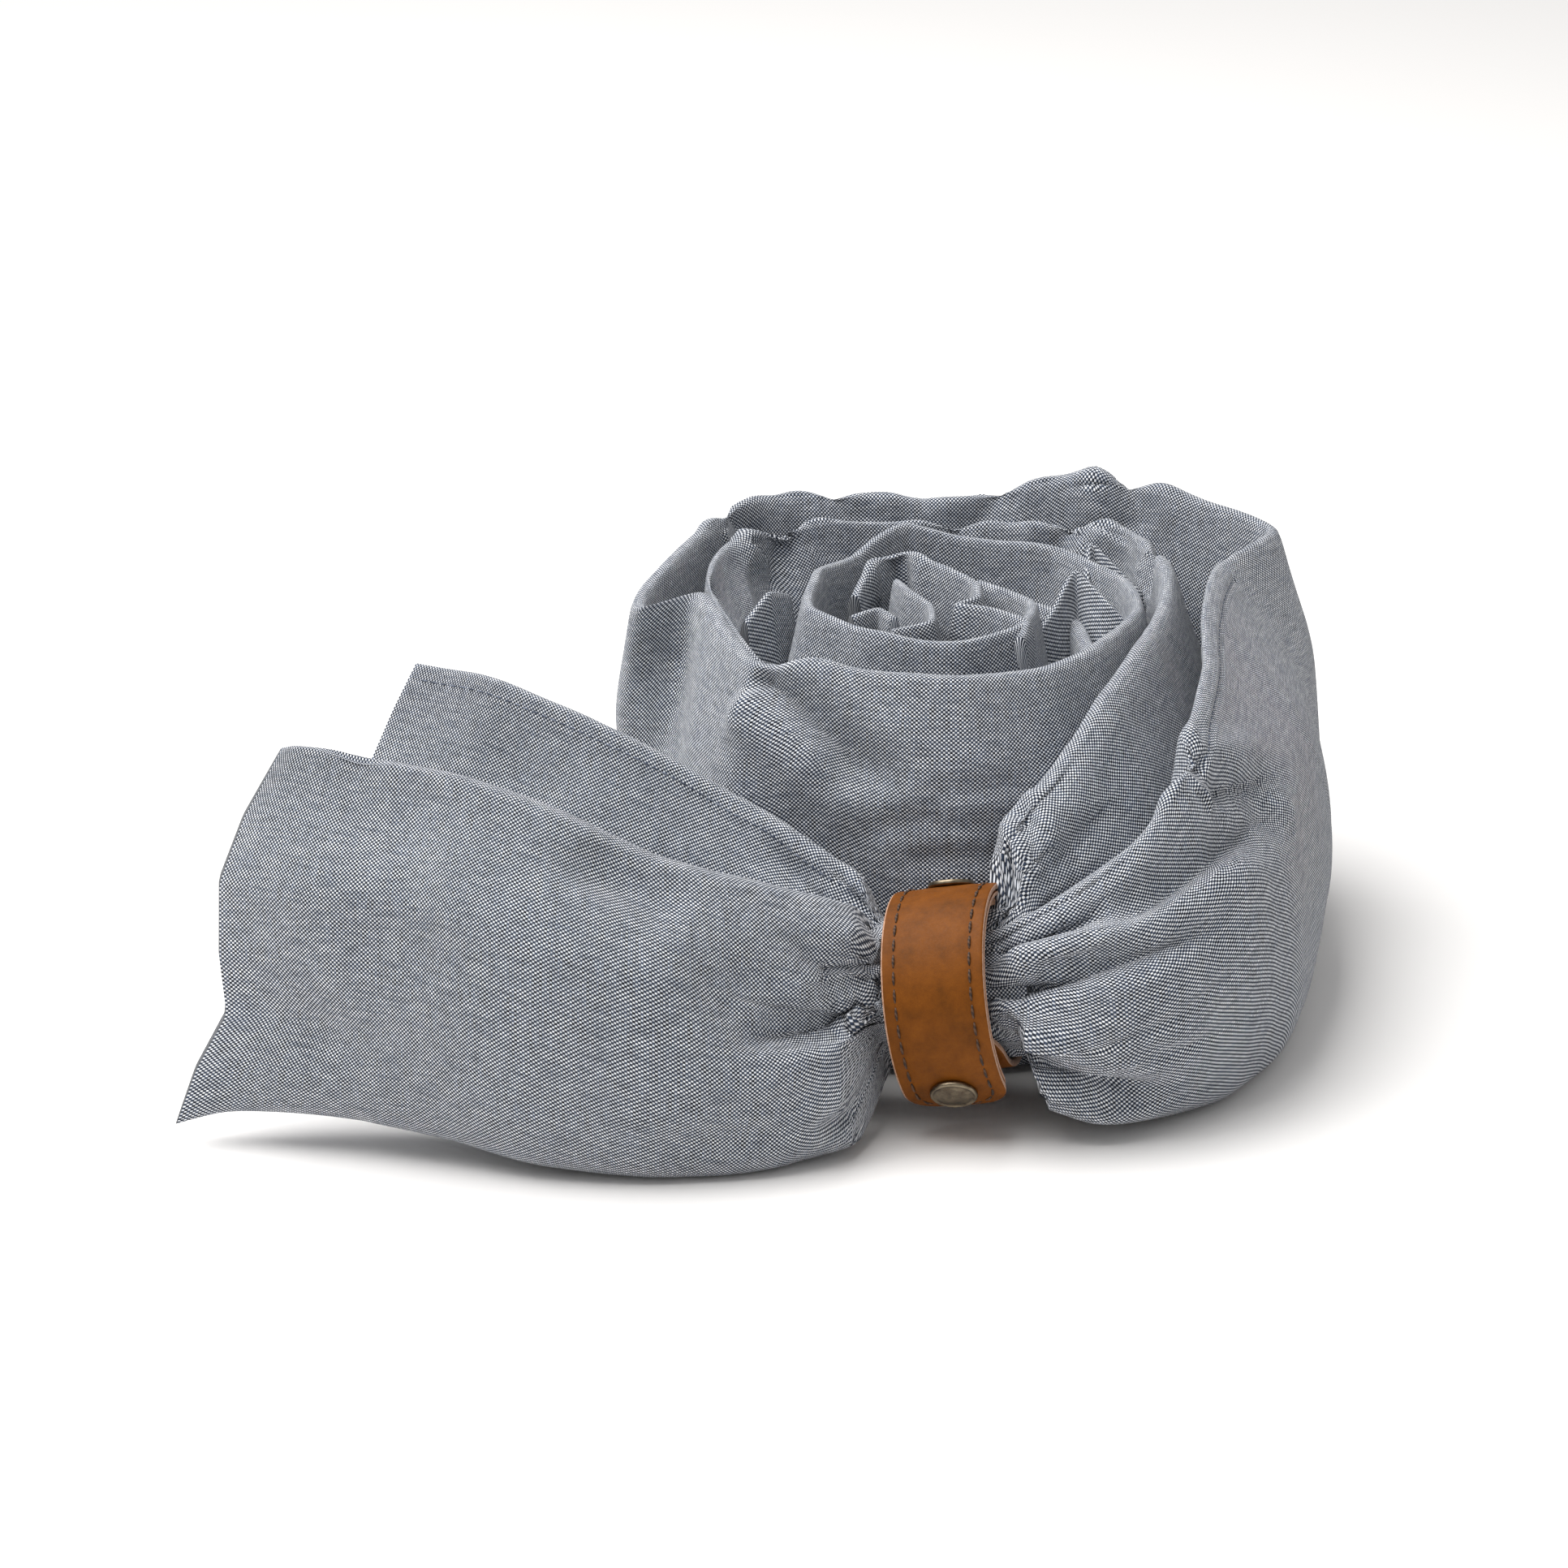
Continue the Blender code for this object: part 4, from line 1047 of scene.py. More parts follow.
@dataclass
class Wrap:
    """The long cloth: two loose ends, the neck in the ring, two runs into the roll, and the roll's heart."""

    place: Place
    finishes: Finishes
    folded_width: float = 104.0
    stitch_pitch: float = 2.6
    stitch_length: float = 1.9
    thread_radius: float = 0.22

    def front_end(self) -> Ply:
        """The nearer loose end, which fans out to the left of the ring."""
        return Ply(
            "wrap_end_front_cloth",
            (
                Station((-188, -24, 5.5), (-161, -12, 97), 1.8, 1.8, 1.6),
                Station((-178, -22, 8), (-158, -12, 97.5), 8, 7, 2.6),
                Station((-163, -21, 9), (-150, -13, 97), 14, 12, 3.5, square=0.5),
                Station((-144, -22, 8), (-139, -16, 95.5), 18, 16, 4.5, square=0.6),
                Station((-120, -27, 5), (-120, -19, 93.5), 21, 19, 6, square=0.65),
                Station((-96, -36, 1.5), (-96, -23, 85), 21, 20, 8, square=0.65),
                Station((-72, -40, 0), (-72, -23, 73.5), 20, 19, 9, square=0.7),
                Station((-50, -36, 0), (-50, -18, 66.5), 19, 17, 9, square=0.75),
                Station((-31, -26, 2), (-31, -12, 59), 17, 14, 9, square=0.8),
                Station((-20, -17, 9), (-20, -7, 53), 15, 12, 9, square=0.9),
                Station((-13, -12, 14), (-13, -5, 49), 13, 11, 8, square=0.9),
                Station((-4, -9, 17), (-4, -4, 45), 10, 9, 8, square=0.9),
            ),
            folds=FRONT_END_FOLDS,
            seed=11,
            rumple=1.0,
            gather_at=GatherEnd.END,
            edge=((0.0, 0.0), (0.15, 1.0), (0.3, 4.5), (0.45, -1.0), (0.65, -6.0), (0.82, -4.5), (1.0, 0.0)),
        )

    def back_end(self) -> Ply:
        """The farther loose end."""
        return Ply(
            "wrap_end_back_cloth",
            (
                Station((-158, 46, 2), (-133, 56, 95), 1.8, 1.8, 1.6),
                Station((-147, 44, 1), (-127, 54, 94.5), 7, 6, 2.4),
                Station((-116, 38, 0), (-112, 47, 94), 12, 11, 3.2, square=0.5),
                Station((-84, 24, 0), (-84, 34, 85), 14, 12, 4, square=0.55),
                Station((-56, 12, 1), (-56, 24, 73), 13, 11, 5, square=0.65),
                Station((-34, 3, 5), (-33, 12, 61), 12, 10, 6, square=0.8),
                Station((-20, -2, 13), (-20, 4, 54), 12, 10, 7, square=0.9),
                Station((-13, -4, 17), (-13, 1, 50), 11, 9, 7, square=0.9),
                Station((-4, -4, 19), (-4, 0, 45), 9, 9, 7, square=0.9),
            ),
            folds=BACK_END_FOLDS,
            seed=21,
            gather_at=GatherEnd.END,
            edge=((0.0, 0.0), (0.5, -3.0), (0.72, -5.0), (0.88, -2.5), (1.0, 0.0)),
        )

    def outer_run(self) -> Ply:
        """The outer of the two runs: out of the ring, round the roll and on into its heart."""
        return Ply(
            "roll_outer_cloth",
            (
                Station((4, -9, 18), (4, -5, 46), 10, 9, 8, square=0.9),
                Station((12, -12, 15), (12, -7, 49), 13, 10, 8, square=0.9),
                Station((19, -15, 10), (19, -8, 54), 16, 12, 8, square=0.85),
                Station((29, -15, 5), (29, -8, 61), 18, 13, 7, square=0.8),
                Station((43, -11, 2), (42, -4, 70), 17, 13, 6, square=0.75),
                Station((59, 1, 1), (53, 7, 81), 16, 12, 5, square=0.72),
                Station((72, 22, 0), (58, 28, 90), 16, 9, 6, bow=2.0, square=0.85),
                Station((80, 50, 0), (62, 53, 96), 15, 7, 5.5, bow=4.0, square=0.85),
                Station((84, 84, 0), (64, 86, 100), 14, 7, 5, bow=8.0, square=0.8),
                Station((85, 116, 0), (69, 117, 101), 12, 7, 5, bow=8.5, square=0.75),
                Station((83, 142, 0), (86, 152, 99.5), 9, 7, 4.5, bow=3.0, square=0.65),
                *upright(
                    (
                        (60, 170, 60, 178, 102.5), (26, 179, 26, 186, 103), (1, 181, 1, 184, 98),
                        (-22, 179, -22, 184, 99), (-49, 172, -50, 178, 99.5), (-66, 138, -70, 131, 99.5),
                        (-72, 98, -77, 90, 98.5), (-69, 72, -64, 93, 101), (-60, 52, -57, 70, 100),
                    ),
                    (9, 8),
                    4.6,
                ),
                *upright(
                    (
                        (-44, 35, -49, 48, 98.5), (-23, 27, -27, 42, 98), (3, 24, 3, 39, 97),
                        (26, 31, 21, 45, 97.5), (42, 50, 35, 60, 98),
                    ),
                    (11, 8),
                    5.0,
                ),
                *upright(
                    (
                        (50, 80, 47, 88, 98), (47, 118, 45, 120, 96), (30, 141, 30, 145, 96),
                        (2, 152, 2, 152, 98), (-10, 152, -10, 153, 101), (-25, 138, -24, 137, 97.5),
                        (-36, 115, -33, 122, 98.5), (-36, 90, -35, 94, 97), (-22, 70, -21, 76, 96),
                        (2, 64, 3, 69, 96), (17, 72, 17, 78, 97.5), (22, 98, 21, 100, 97),
                        (8, 114, 8, 116, 97),
                    ),
                    (7, 7),
                    3.6,
                ),
            ),
            folds=OUTER_RUN_FOLDS,
            seed=31,
            gather_at=GatherEnd.START,
            calm=(25.0, 5.0),
            crisp=0.35,
        )

    def inner_run(self) -> Ply:
        """The inner run, between the outer one and the heart of the roll."""
        return Ply(
            "roll_inner_cloth",
            (
                Station((4, -4, 19), (4, 0, 46), 9, 9, 7, square=0.9),
                Station((11, -1, 17), (8, 1, 56), 12, 10, 8, square=0.9),
                Station((22, 4, 8), (12, 5, 69), 14, 12, 9, square=0.9),
                Station((36, 13, 2), (22, 15, 79), 16, 12, 9, square=0.9),
                Station((50, 28, 0), (33, 31, 90), 16, 11, 9, square=0.9),
                Station((59, 54, 0), (45, 58, 97), 14, 9, 8, square=0.85),
                Station((64, 90, 0), (54, 93, 99), 12, 8, 6, square=0.8),
                Station((62, 126, 0), (56, 128, 98.5), 9, 7, 4.5),
                Station((50, 152, 0), (49, 155, 97.5), 7, 8, 3.6),
                Station((24, 165, 0), (24, 168, 97), 7, 8, 3.4),
                Station((-6, 166, 0), (-6, 169, 96), 7, 9, 3.2),
                Station((-36, 157, 0), (-36, 160, 97.5), 7, 12, 3.0),
                Station((-56, 138, 0), (-58, 140, 98.5), 6, 19, 2.8),
                Station((-59, 112, 0), (-61, 110, 99), 6, 21, 2.6),
                Station((-54, 82, 0), (-57, 82, 98.5), 6, 20, 2.6),
                Station((-44, 62, 0), (-48, 60, 95), 6, 13, 2.6),
                Station((-28, 53, 0), (-31, 54, 87), 5, 5, 2.4),
                Station((-12, 50, 0), (-12, 52, 80), 4, 4, 2.2),
            ),
            folds=INNER_RUN_FOLDS,
            seed=41,
            gather_at=GatherEnd.START,
            calm=(25.0, 5.0),
            crisp=0.3,
        )

    @staticmethod
    def petal(
        name: str, rows: Sequence[tuple[float, float, float, float, float]], rim: float, seed: int,
        crisp: float = 0.4, folds: tuple[Fold, ...] = (),
    ) -> Ply:
        """One crumpled length of cloth in the heart of the roll.

        Args:
            name: Its name.
            rows: The foot's x and y, then the top's x, y and z.
            rim: Half the thickness at the top.
            seed: Picks its rumples.
            crisp: How straight it runs between the rows.
            folds: Its folds.

        Returns:
            The ply.
        """
        return Ply(
            name, upright(rows, (5.0, 5.0), rim), folds=folds, seed=seed, crisp=crisp, rumple=0.5, step_mm=1.2
        )

    @staticmethod
    def tuck(name: str, rows: Sequence[tuple[float, float, float, float, float, float]], seed: int) -> Ply:
        """One short pointed tuck between the turns, which starts about a third of the way up.

        Args:
            name: Its name.
            rows: The foot's x and y, the top's x, y and z, and half the thickness at the top.
            seed: Picks its rumples.

        Returns:
            The ply.
        """
        foot_height, half = 30, 5
        stations = tuple(
            Station((fx, fy, foot_height), (tx, ty, tz), half, half, rim) for fx, fy, tx, ty, tz, rim in rows
        )
        return Ply(name, stations, seed=seed, crisp=0.6, rumple=0.3, step_mm=1.2, rim_rumple=0.3)

    def heart(self) -> tuple[Ply, ...]:
        """The crumpled folds in the middle of the roll."""
        packing = upright(
            (
                (-24, 49, -24, 50, 83), (0, 46, 0, 47, 84), (20, 51, 20, 52, 84), (34, 66, 33, 67, 85),
                (38, 92, 36, 92, 86), (34, 116, 32, 116, 88), (17, 132, 16, 131, 87), (-2, 136, -2, 135, 86),
            ),
            (7.0, 6.0), 4.5,
        )
        return (
            self.petal(
                "heart_1",
                (
                    (-24, 112, -24, 112, 94), (-20, 124, -19, 125, 99), (-11, 127, -11, 127, 101),
                    (-3, 119, -3, 119, 100.5), (7, 106, 7, 105, 99.5), (7, 98, 7, 97, 98.5),
                    (2, 94, 2, 94, 98), (8, 91, 9, 90, 98.5), (18, 82, 19, 80, 98), (17, 73, 17, 73, 96),
                ),
                3.2, 51, 0.5, (Fold(((20, 0.98), (24, 0.8), (24, 0.6)), 3.0, 5.0),),
            ),
            self.petal(
                "heart_2",
                (
                    (-13, 116, -13, 117, 97), (-10, 104, -10, 105, 98), (-4, 94, -5, 95, 97.5),
                    (-3, 84, -5, 85, 96.5), (-14, 80, -15, 82, 95),
                ),
                2.8, 53,
            ),
            Ply("packing", packing, seed=67, crisp=0.3, rumple=0.8, step_mm=2.0),
            self.tuck(
                "tuck_1",
                (
                    (14, 90, 20, 97, 86, 2.4), (24, 93, 27, 108, 92, 2.2), (33, 96, 33, 122, 98, 2.0),
                    (42, 100, 41, 110, 93, 2.2), (50, 104, 47, 105, 88, 2.4),
                ),
                59,
            ),
            self.tuck(
                "tuck_2",
                (
                    (36, 114, 36, 122, 90, 2.2), (41, 117, 38, 142, 99, 2.0), (47, 122, 45, 134, 94, 2.0),
                    (53, 128, 51, 130, 89, 2.2),
                ),
                61,
            ),
            self.tuck(
                "tuck_3",
                ((-55, 96, -52, 103, 90, 2.4), (-48, 100, -46, 112, 95, 2.2), (-42, 110, -41, 120, 92, 2.4)),
                63,
            ),
            self.petal(
                "heart_3", ((-25, 92, -25, 93, 95), (-18, 96, -18, 98, 95.5), (-14, 90, -14, 92, 95)), 2.8, 57
            ),
        )

    def neck(self, ring: "RingFrame") -> bpy.types.Object:
        """The pleated bundle inside the ring.

        Args:
            ring: Where the ring is.

        Returns:
            The new object.
        """
        rows, columns = 41, 144
        half_length, base_radius, unrolled_radius = 20.0, 12.4, 13.0
        turn = np.linspace(0, 2 * math.pi, columns, endpoint=False)
        across = np.linspace(-half_length, half_length, rows)
        points = np.empty((rows, columns, 3))
        for i, x in enumerate(across):
            pleats = np.abs(np.sin(5.5 * turn + 0.4 * math.sin(x / 9.0))) + 0.5 * np.sin(9 * turn + 0.08 * x)
            radius = base_radius + pleats + 0.004 * max(abs(x) - 10, 0) ** 2
            points[i] = ring.on(x, np.degrees(turn)[::-1], radius)
        around = np.concatenate([turn, [2 * math.pi]]) * unrolled_radius
        thread = np.stack(np.meshgrid(across, around, indexing="ij"), axis=2)
        return grid_object("wrap_neck_cloth", points, thread, self.finishes.cloth)

    def hem(self, name: str, ply: Ply, lines: Sequence[Sequence[tuple[float, float]]]) -> bpy.types.Object:
        """Sews stitches on a ply.

        Args:
            name: The stitches' name.
            ply: The cloth.
            lines: Each seam as (along, height) places.

        Returns:
            The new object.
        """
        seams, outs = [], []
        for path in lines:
            flat = smooth_curve(np.array(path, float) * FOLD_SCALE, 160) / FOLD_SCALE
            seams.append(self.place.metres(np.array([ply.sample(ply.points, s, h) for s, h in flat])))
            outs.append(np.array([ply.sample(ply.normals, s, h) for s, h in flat]))
        sizes = (self.stitch_pitch * MM, self.stitch_length * MM, self.thread_radius * MM)
        return dashes(name, seams, outs, *sizes, self.finishes.hem)

    def build(self, ring: "RingFrame") -> None:
        """Builds and dresses every piece of cloth.

        Args:
            ring: Where the ring is.
        """
        cloth, fold = self.finishes.cloth, self.folded_width * MM
        outer, inner, front, back = self.outer_run(), self.inner_run(), self.front_end(), self.back_end()
        for ply, nodes in (
            (front, ("wrap_end_front",)),
            (back, ("wrap_end_back",)),
            (outer, ("run_in_outer", "roll_outer_turn", "roll_inner_turn")),
            (inner, ("run_in_inner", "roll_middle_turn")),
        ):
            obj = ply.build(cloth, self.place, ring.make_room)
            self.dress(obj, nodes, "chambray_cloth")
            LOG.info("%s: %.0f mm long", ply.name, ply.length)
        petals = self.heart()
        heart = self.join("roll_heart_cloth", [ply.build(cloth, self.place) for ply in petals])
        self.dress(heart, ("roll_core",), "chambray_cloth")
        heart_length = sum(ply.length for ply in petals)
        LOG.info("%s: %.0f mm long in %d folds", heart.name, heart_length, len(petals))
        neck = self.dress(self.neck(ring), ("wrap_neck",), "chambray_cloth")
        LOG.info("%s: %d points", neck.name, len(neck.data.vertices))
        hems = {}
        for name, ply, lines, nodes in (
            ("end_hem_stitches", back, BACK_HEMS, ("end_hem_thread",)),
            ("run_hem_stitches", outer, OUTER_HEMS, ("run_in_hem_thread",)),
            ("inner_hem_stitches", inner, INNER_HEMS, ()),
        ):
            hems[name] = self.dress(self.hem(name, ply, lines), nodes, "hem_sewing")
            LOG.info("%s: %d points", name, len(hems[name].data.vertices))

    def join(self, name: str, pieces: Sequence[bpy.types.Object]) -> bpy.types.Object:
        """Joins a few pieces of cloth into one object.

        Args:
            name: The new object's name.
            pieces: The objects, which are used up.

        Returns:
            The joined object.
        """
        bpy.ops.object.select_all(action="DESELECT")
        for piece in pieces:
            piece.select_set(True)
        bpy.context.view_layer.objects.active = pieces[0]
        bpy.ops.object.join()
        pieces[0].name = name
        return pieces[0]

    @staticmethod
    def dress(obj: bpy.types.Object, nodes: Sequence[str], slot: str) -> bpy.types.Object:
        """Lets a piece ride on the wrap and stand for its CAD nodes.

        Args:
            obj: The piece.
            nodes: The CAD nodes that it stands for.
            slot: The record's material slot; not used.

        Returns:
            The same piece.
        """
        if nodes:
            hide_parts(*nodes)
        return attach(obj, WRAP)


# The strap

# The room inside the ring: the angle round it, then how far out the cloth may come, in millimetres
RING_ROOM = (
    (-75.0, 15.9), (-64.0, 15.9), (-58.0, 14.2), (-22.0, 14.2), (-16.0, 15.9), (-2.0, 15.9),
    (18.0, 22.4), (68.0, 22.4), (87.0, 20.3), (102.0, 20.3), (107.0, 19.2), (129.0, 19.2),
    (134.0, 20.3), (165.0, 20.3), (215.0, 18.8), (245.0, 17.0), (285.0, 15.9),
)
# Half the ring's width, its 3 mm of slide and a little more
ROOM_HALF_LENGTH = 17.2
# How fast the room widens beyond that, and over how many millimetres the cloth rounds in to it
ROOM_FLARE = 4.5
ROOM_SOFTNESS = 1.0
# Cloth this far out, and this high above the ring's axis, lies over the ring and stays where it is
OVER_RING = (28.6, 32.0)
OVER_RING_FROM = 10.0
OVER_RING_SOFTNESS = 8.0


@dataclass(frozen=True)
class RingFrame:
    """The ring's own directions: its axis, then to the back, then up. Places come out in metres."""

    centre: np.ndarray
    axes: np.ndarray  # rows

    @classmethod
    def from_joints(cls, radius: float, hinge_angle: float) -> "RingFrame":
        """Reads the ring's place from the two joints.

        Args:
            radius: From the ring's axis to the hinge, in millimetres.
            hinge_angle: The hinge's angle round the ring, in degrees.

        Returns:
            The ring's frame.
        """
        joints = {joint["name"]: joint for joint in frame["joints"]}
        x = np.array(joints["band_slide"]["axis"], float)
        x /= np.linalg.norm(x)
        y = np.array([-x[1], x[0], 0.0])
        y /= np.linalg.norm(y)
        axes = np.stack([x, y, np.cross(x, y)])
        a = math.radians(hinge_angle)
        away = -math.cos(a) * axes[1] + math.sin(a) * axes[2]
        return cls(np.array(joints["flap_open"]["pos_m"], float) - radius * MM * away, axes)

    def out(self, degrees: np.ndarray | float) -> np.ndarray:
        """The direction straight out of the ring at an angle, where 0 is the front and 90 the top."""
        a = np.radians(np.asarray(degrees, float))[..., None]
        return -np.cos(a) * self.axes[1] + np.sin(a) * self.axes[2]

    def make_room(self, places: np.ndarray) -> np.ndarray:
        """Pulls cloth in towards the ring's axis, so that the ring can slide over it.

        Args:
            places: Points of the cloth, in metres.

        Returns:
            The points, moved in where they were in the ring's way. Those that lie over the ring stay.
        """
        local = (places - self.centre) @ self.axes.T / MM
        radius = np.hypot(local[..., 1], local[..., 2])
        turn = np.degrees(np.arctan2(local[..., 2], -local[..., 1]))
        first = RING_ROOM[0][0]
        inside = np.interp((turn - first) % 360.0 + first, *np.array(RING_ROOM).T)
        limit = inside + ROOM_FLARE * np.maximum(np.abs(local[..., 0]) - ROOM_HALF_LENGTH, 0.0)
        over = np.maximum(radius - limit + ROOM_SOFTNESS, 0.0)
        pulled = np.where(over > 0.0, limit - ROOM_SOFTNESS * np.exp(-over / ROOM_SOFTNESS), radius)
        above = smooth_step((local[..., 2] - OVER_RING_FROM) / OVER_RING_SOFTNESS)
        outside = smooth_step((radius - OVER_RING[0]) / (OVER_RING[1] - OVER_RING[0]))
        pulled += (radius - pulled) * above * outside
        local[..., 1:] *= (pulled / np.maximum(radius, 1e-6))[..., None]
        return self.centre + local @ self.axes * MM

    def on(
        self, x: np.ndarray | float, degrees: np.ndarray | float, radius: np.ndarray | float
    ) -> np.ndarray:
        """A place on the ring.

        Args:
            x: Along the ring's axis, in millimetres.
            degrees: The angle round it.
            radius: From its axis, in millimetres.

        Returns:
            The place, or one row for each angle.
        """
        along = np.asarray(x, float)[..., None] * self.axes[0]
        return self.centre + (along + np.asarray(radius, float)[..., None] * self.out(degrees)) * MM


@dataclass
class Strip:
    """A bent strip of leather with a softly rounded face."""

    name: str
    start: float  # degrees
    end: float
    outside: float  # radius of the face in millimetres
    thick: float
    width: float = 25.0
    least_half: float = 0.35  # half the width at the very tip
    seam_inset: float = 3.2
    groove: float = 0.0  # how deep the seam sinks in
    groove_width: float = 0.5
    crown: float = 0.25  # how much the face swells between its edges
    wave: float = 0.12  # how uneven the face is
    bevel: float = 0.45
    outside_end: float | None = None  # the radius at the other end, where it differs
    fade: tuple[float, float] = (0.0, 1.0)  # the angles between which the radius changes

    def radius(self, degrees: np.ndarray | float) -> np.ndarray:
        """The radius of the strip's face at an angle."""
        if self.outside_end is None:
            return np.full(np.shape(degrees), self.outside)
        t = smooth_step((np.asarray(degrees, float) - self.fade[0]) / (self.fade[1] - self.fade[0]))
        return self.outside + (self.outside_end - self.outside) * t

    def half_width(self, degrees: float) -> float:
        """Half the strip's width at an angle, which shrinks to nothing at a rounded end."""
        full = half = 0.5 * self.width
        radius = float(self.radius(degrees))
        for edge in (self.start, self.end):
            inside = math.radians(abs(degrees - edge)) * radius
            if inside < half:
                half = min(half, math.sqrt(max(0.0, full**2 - (full - inside) ** 2)))
        return max(half, self.least_half)

    def angles(self) -> np.ndarray:
        """Angles along the strip, close together at its two ends."""
        tip = math.degrees(0.5 * self.width / self.outside)
        ease = 1 - np.cos(np.linspace(0, 0.5 * math.pi, 22))
        count = max(8, round((self.end - self.start - 2 * tip) / 1.5))
        middle = np.linspace(self.start + tip, self.end - tip, count)
        return np.concatenate([self.start + tip * ease, middle[1:-1], (self.end - tip * ease)[::-1]])

    def build(self, ring: RingFrame, finishes: Finishes) -> bpy.types.Object:
        """Builds the strip.

        Args:
            ring: Where the ring is.
            finishes: The materials.

        Returns:
            The new object, with a waxed face and raw edges and back.
        """
        angles = self.angles()
        seed = sum(map(ord, self.name))
        rows = []
        for degrees in angles:
            half, top = self.half_width(degrees), float(self.radius(degrees))
            soft = min(self.bevel, 0.5 * half)
            inset = max(half - self.seam_inset, 0.0)
            face = [-half + soft, -half + 2.2 * soft, -inset - 0.5, -inset, -inset + 0.5]
            held = [round(max(min(v, -0.05), -half + soft), 4) for v in face]
            face = sorted({v + 1e-4 * i for i, v in enumerate(held)})
            while len(face) < 5:
                face.append(face[-1] + 1e-3)
            inner = [share * inset for share in (-0.6, -0.2, 0.2, 0.6)]
            across = [*face, *inner, *(-v for v in reversed(face))]
            row = []
            for x in across:
                sink = self.groove * math.exp(-(((abs(x) - inset) / self.groove_width) ** 2))
                crown = self.crown * (1 - (x / (0.5 * self.width)) ** 2)
                noise = soft_noise(np.array([degrees / 16.0]), np.array([x / 9.0]), seed)
                row.append((x, top - self.crown + crown + self.wave * float(noise[0]) - sink))
            bottom = top - self.thick
            edge = [
                (half - 0.12 * soft, top - 0.9 * soft), (half, top - 1.6 * soft),
                (half, bottom + 0.4 * soft), (half - 0.5 * soft, bottom),
            ]
            row += [*edge, (0.0, bottom), *((-x, r) for x, r in reversed(edge))]
            rows.append([ring.on(x, degrees, r) for x, r in row])
        points = np.array(rows)[:, ::-1]
        columns = points.shape[1]
        flat = np.zeros((len(rows), columns + 1, 2))
        obj = grid_object(self.name, points, flat, finishes.leather)
        obj.data.materials.append(finishes.raw)
        raw_side = columns - len(across)  # the columns of the face come last
        for polygon in obj.data.polygons:
            capped = len({v // columns for v in polygon.vertices}) == 1
            if capped or min(v % columns for v in polygon.vertices) < raw_side - 1:
                polygon.material_index = 1
        return obj

    def seam_lines(
        self, ring: RingFrame, start: float, end: float
    ) -> tuple[list[np.ndarray], list[np.ndarray]]:
        """Where the stitches run: up one side, round the flap's tip and back up the other.

        Args:
            ring: Where the ring is.
            start: The angle of the flap's tip.
            end: The angle at which both rows end.

        Returns:
            The line's points and their outward directions.
        """
        line, outs = [], []
        up = np.linspace(end, start, 260)
        for side in (-1, 1):
            for degrees in up if side < 0 else up[::-1]:
                tip = math.radians(abs(degrees - self.start)) * self.outside
                if tip < self.seam_inset:
                    continue
                line_half = 0.5 * self.width - self.seam_inset
                inside = tip - self.seam_inset
                half = line_half
                if inside < line_half:
                    half = math.sqrt(max(line_half**2 - (line_half - inside) ** 2, 0.0))
                line.append(ring.on(side * half, degrees, self.outside - 0.1))
                outs.append(ring.out(degrees))
        return [np.array(line)], [np.array(outs)]


@dataclass
class Turned:
    """A stamped metal piece that is round about its own axis."""

    name: str
    profile: tuple[tuple[float, float], ...]  # (radius, height) from the rim's foot to the middle of the top
    steps: int = 72

    def build(self, centre: np.ndarray, out: np.ndarray, material: bpy.types.Material) -> bpy.types.Object:
        """Builds the piece.

        Args:
            centre: The middle of its foot, in metres.
            out: The direction of its axis.
            material: Its finish.

        Returns:
            The new object.
        """
        side = np.cross(out, [0.3, 0.2, 0.9])
        side /= np.linalg.norm(side)
        other = np.cross(out, side)
        knots = np.array(self.profile, float)
        line = smooth_curve(knots, 40, 0.45)
        points = [centre + out * line[-1, 1] * MM]
        for r, z in line[:-1]:
            for k in range(self.steps):
                a = 2 * math.pi * k / self.steps
                points.append(centre + (r * (math.cos(a) * side + math.sin(a) * other) + z * out) * MM)
        faces: list[tuple[int, ...]] = []
        rings = len(line) - 1
        for i in range(rings - 1):
            for k in range(self.steps):
                n = (k + 1) % self.steps
                a, b = 1 + i * self.steps, 1 + (i + 1) * self.steps
                faces.append((a + k, a + n, b + n, b + k))
        last = 1 + (rings - 1) * self.steps
        faces += [(last + k, last + (k + 1) % self.steps, 0) for k in range(self.steps)]
        faces.append(tuple(1 + k for k in reversed(range(self.steps))))
        mesh = bpy.data.meshes.new(self.name)
        mesh.from_pydata([p.tolist() for p in points], [], faces)
        return place_piece(self.name, mesh, material)


# A pressed cap with a rolled rim and a low dome
CAP_PROFILE = (
    (5.35, -0.3), (5.75, 0.1), (5.72, 0.75), (5.35, 1.12), (4.95, 1.02), (4.75, 0.9), (3.6, 1.18),
    (2.0, 1.42), (0.0, 1.5),
)


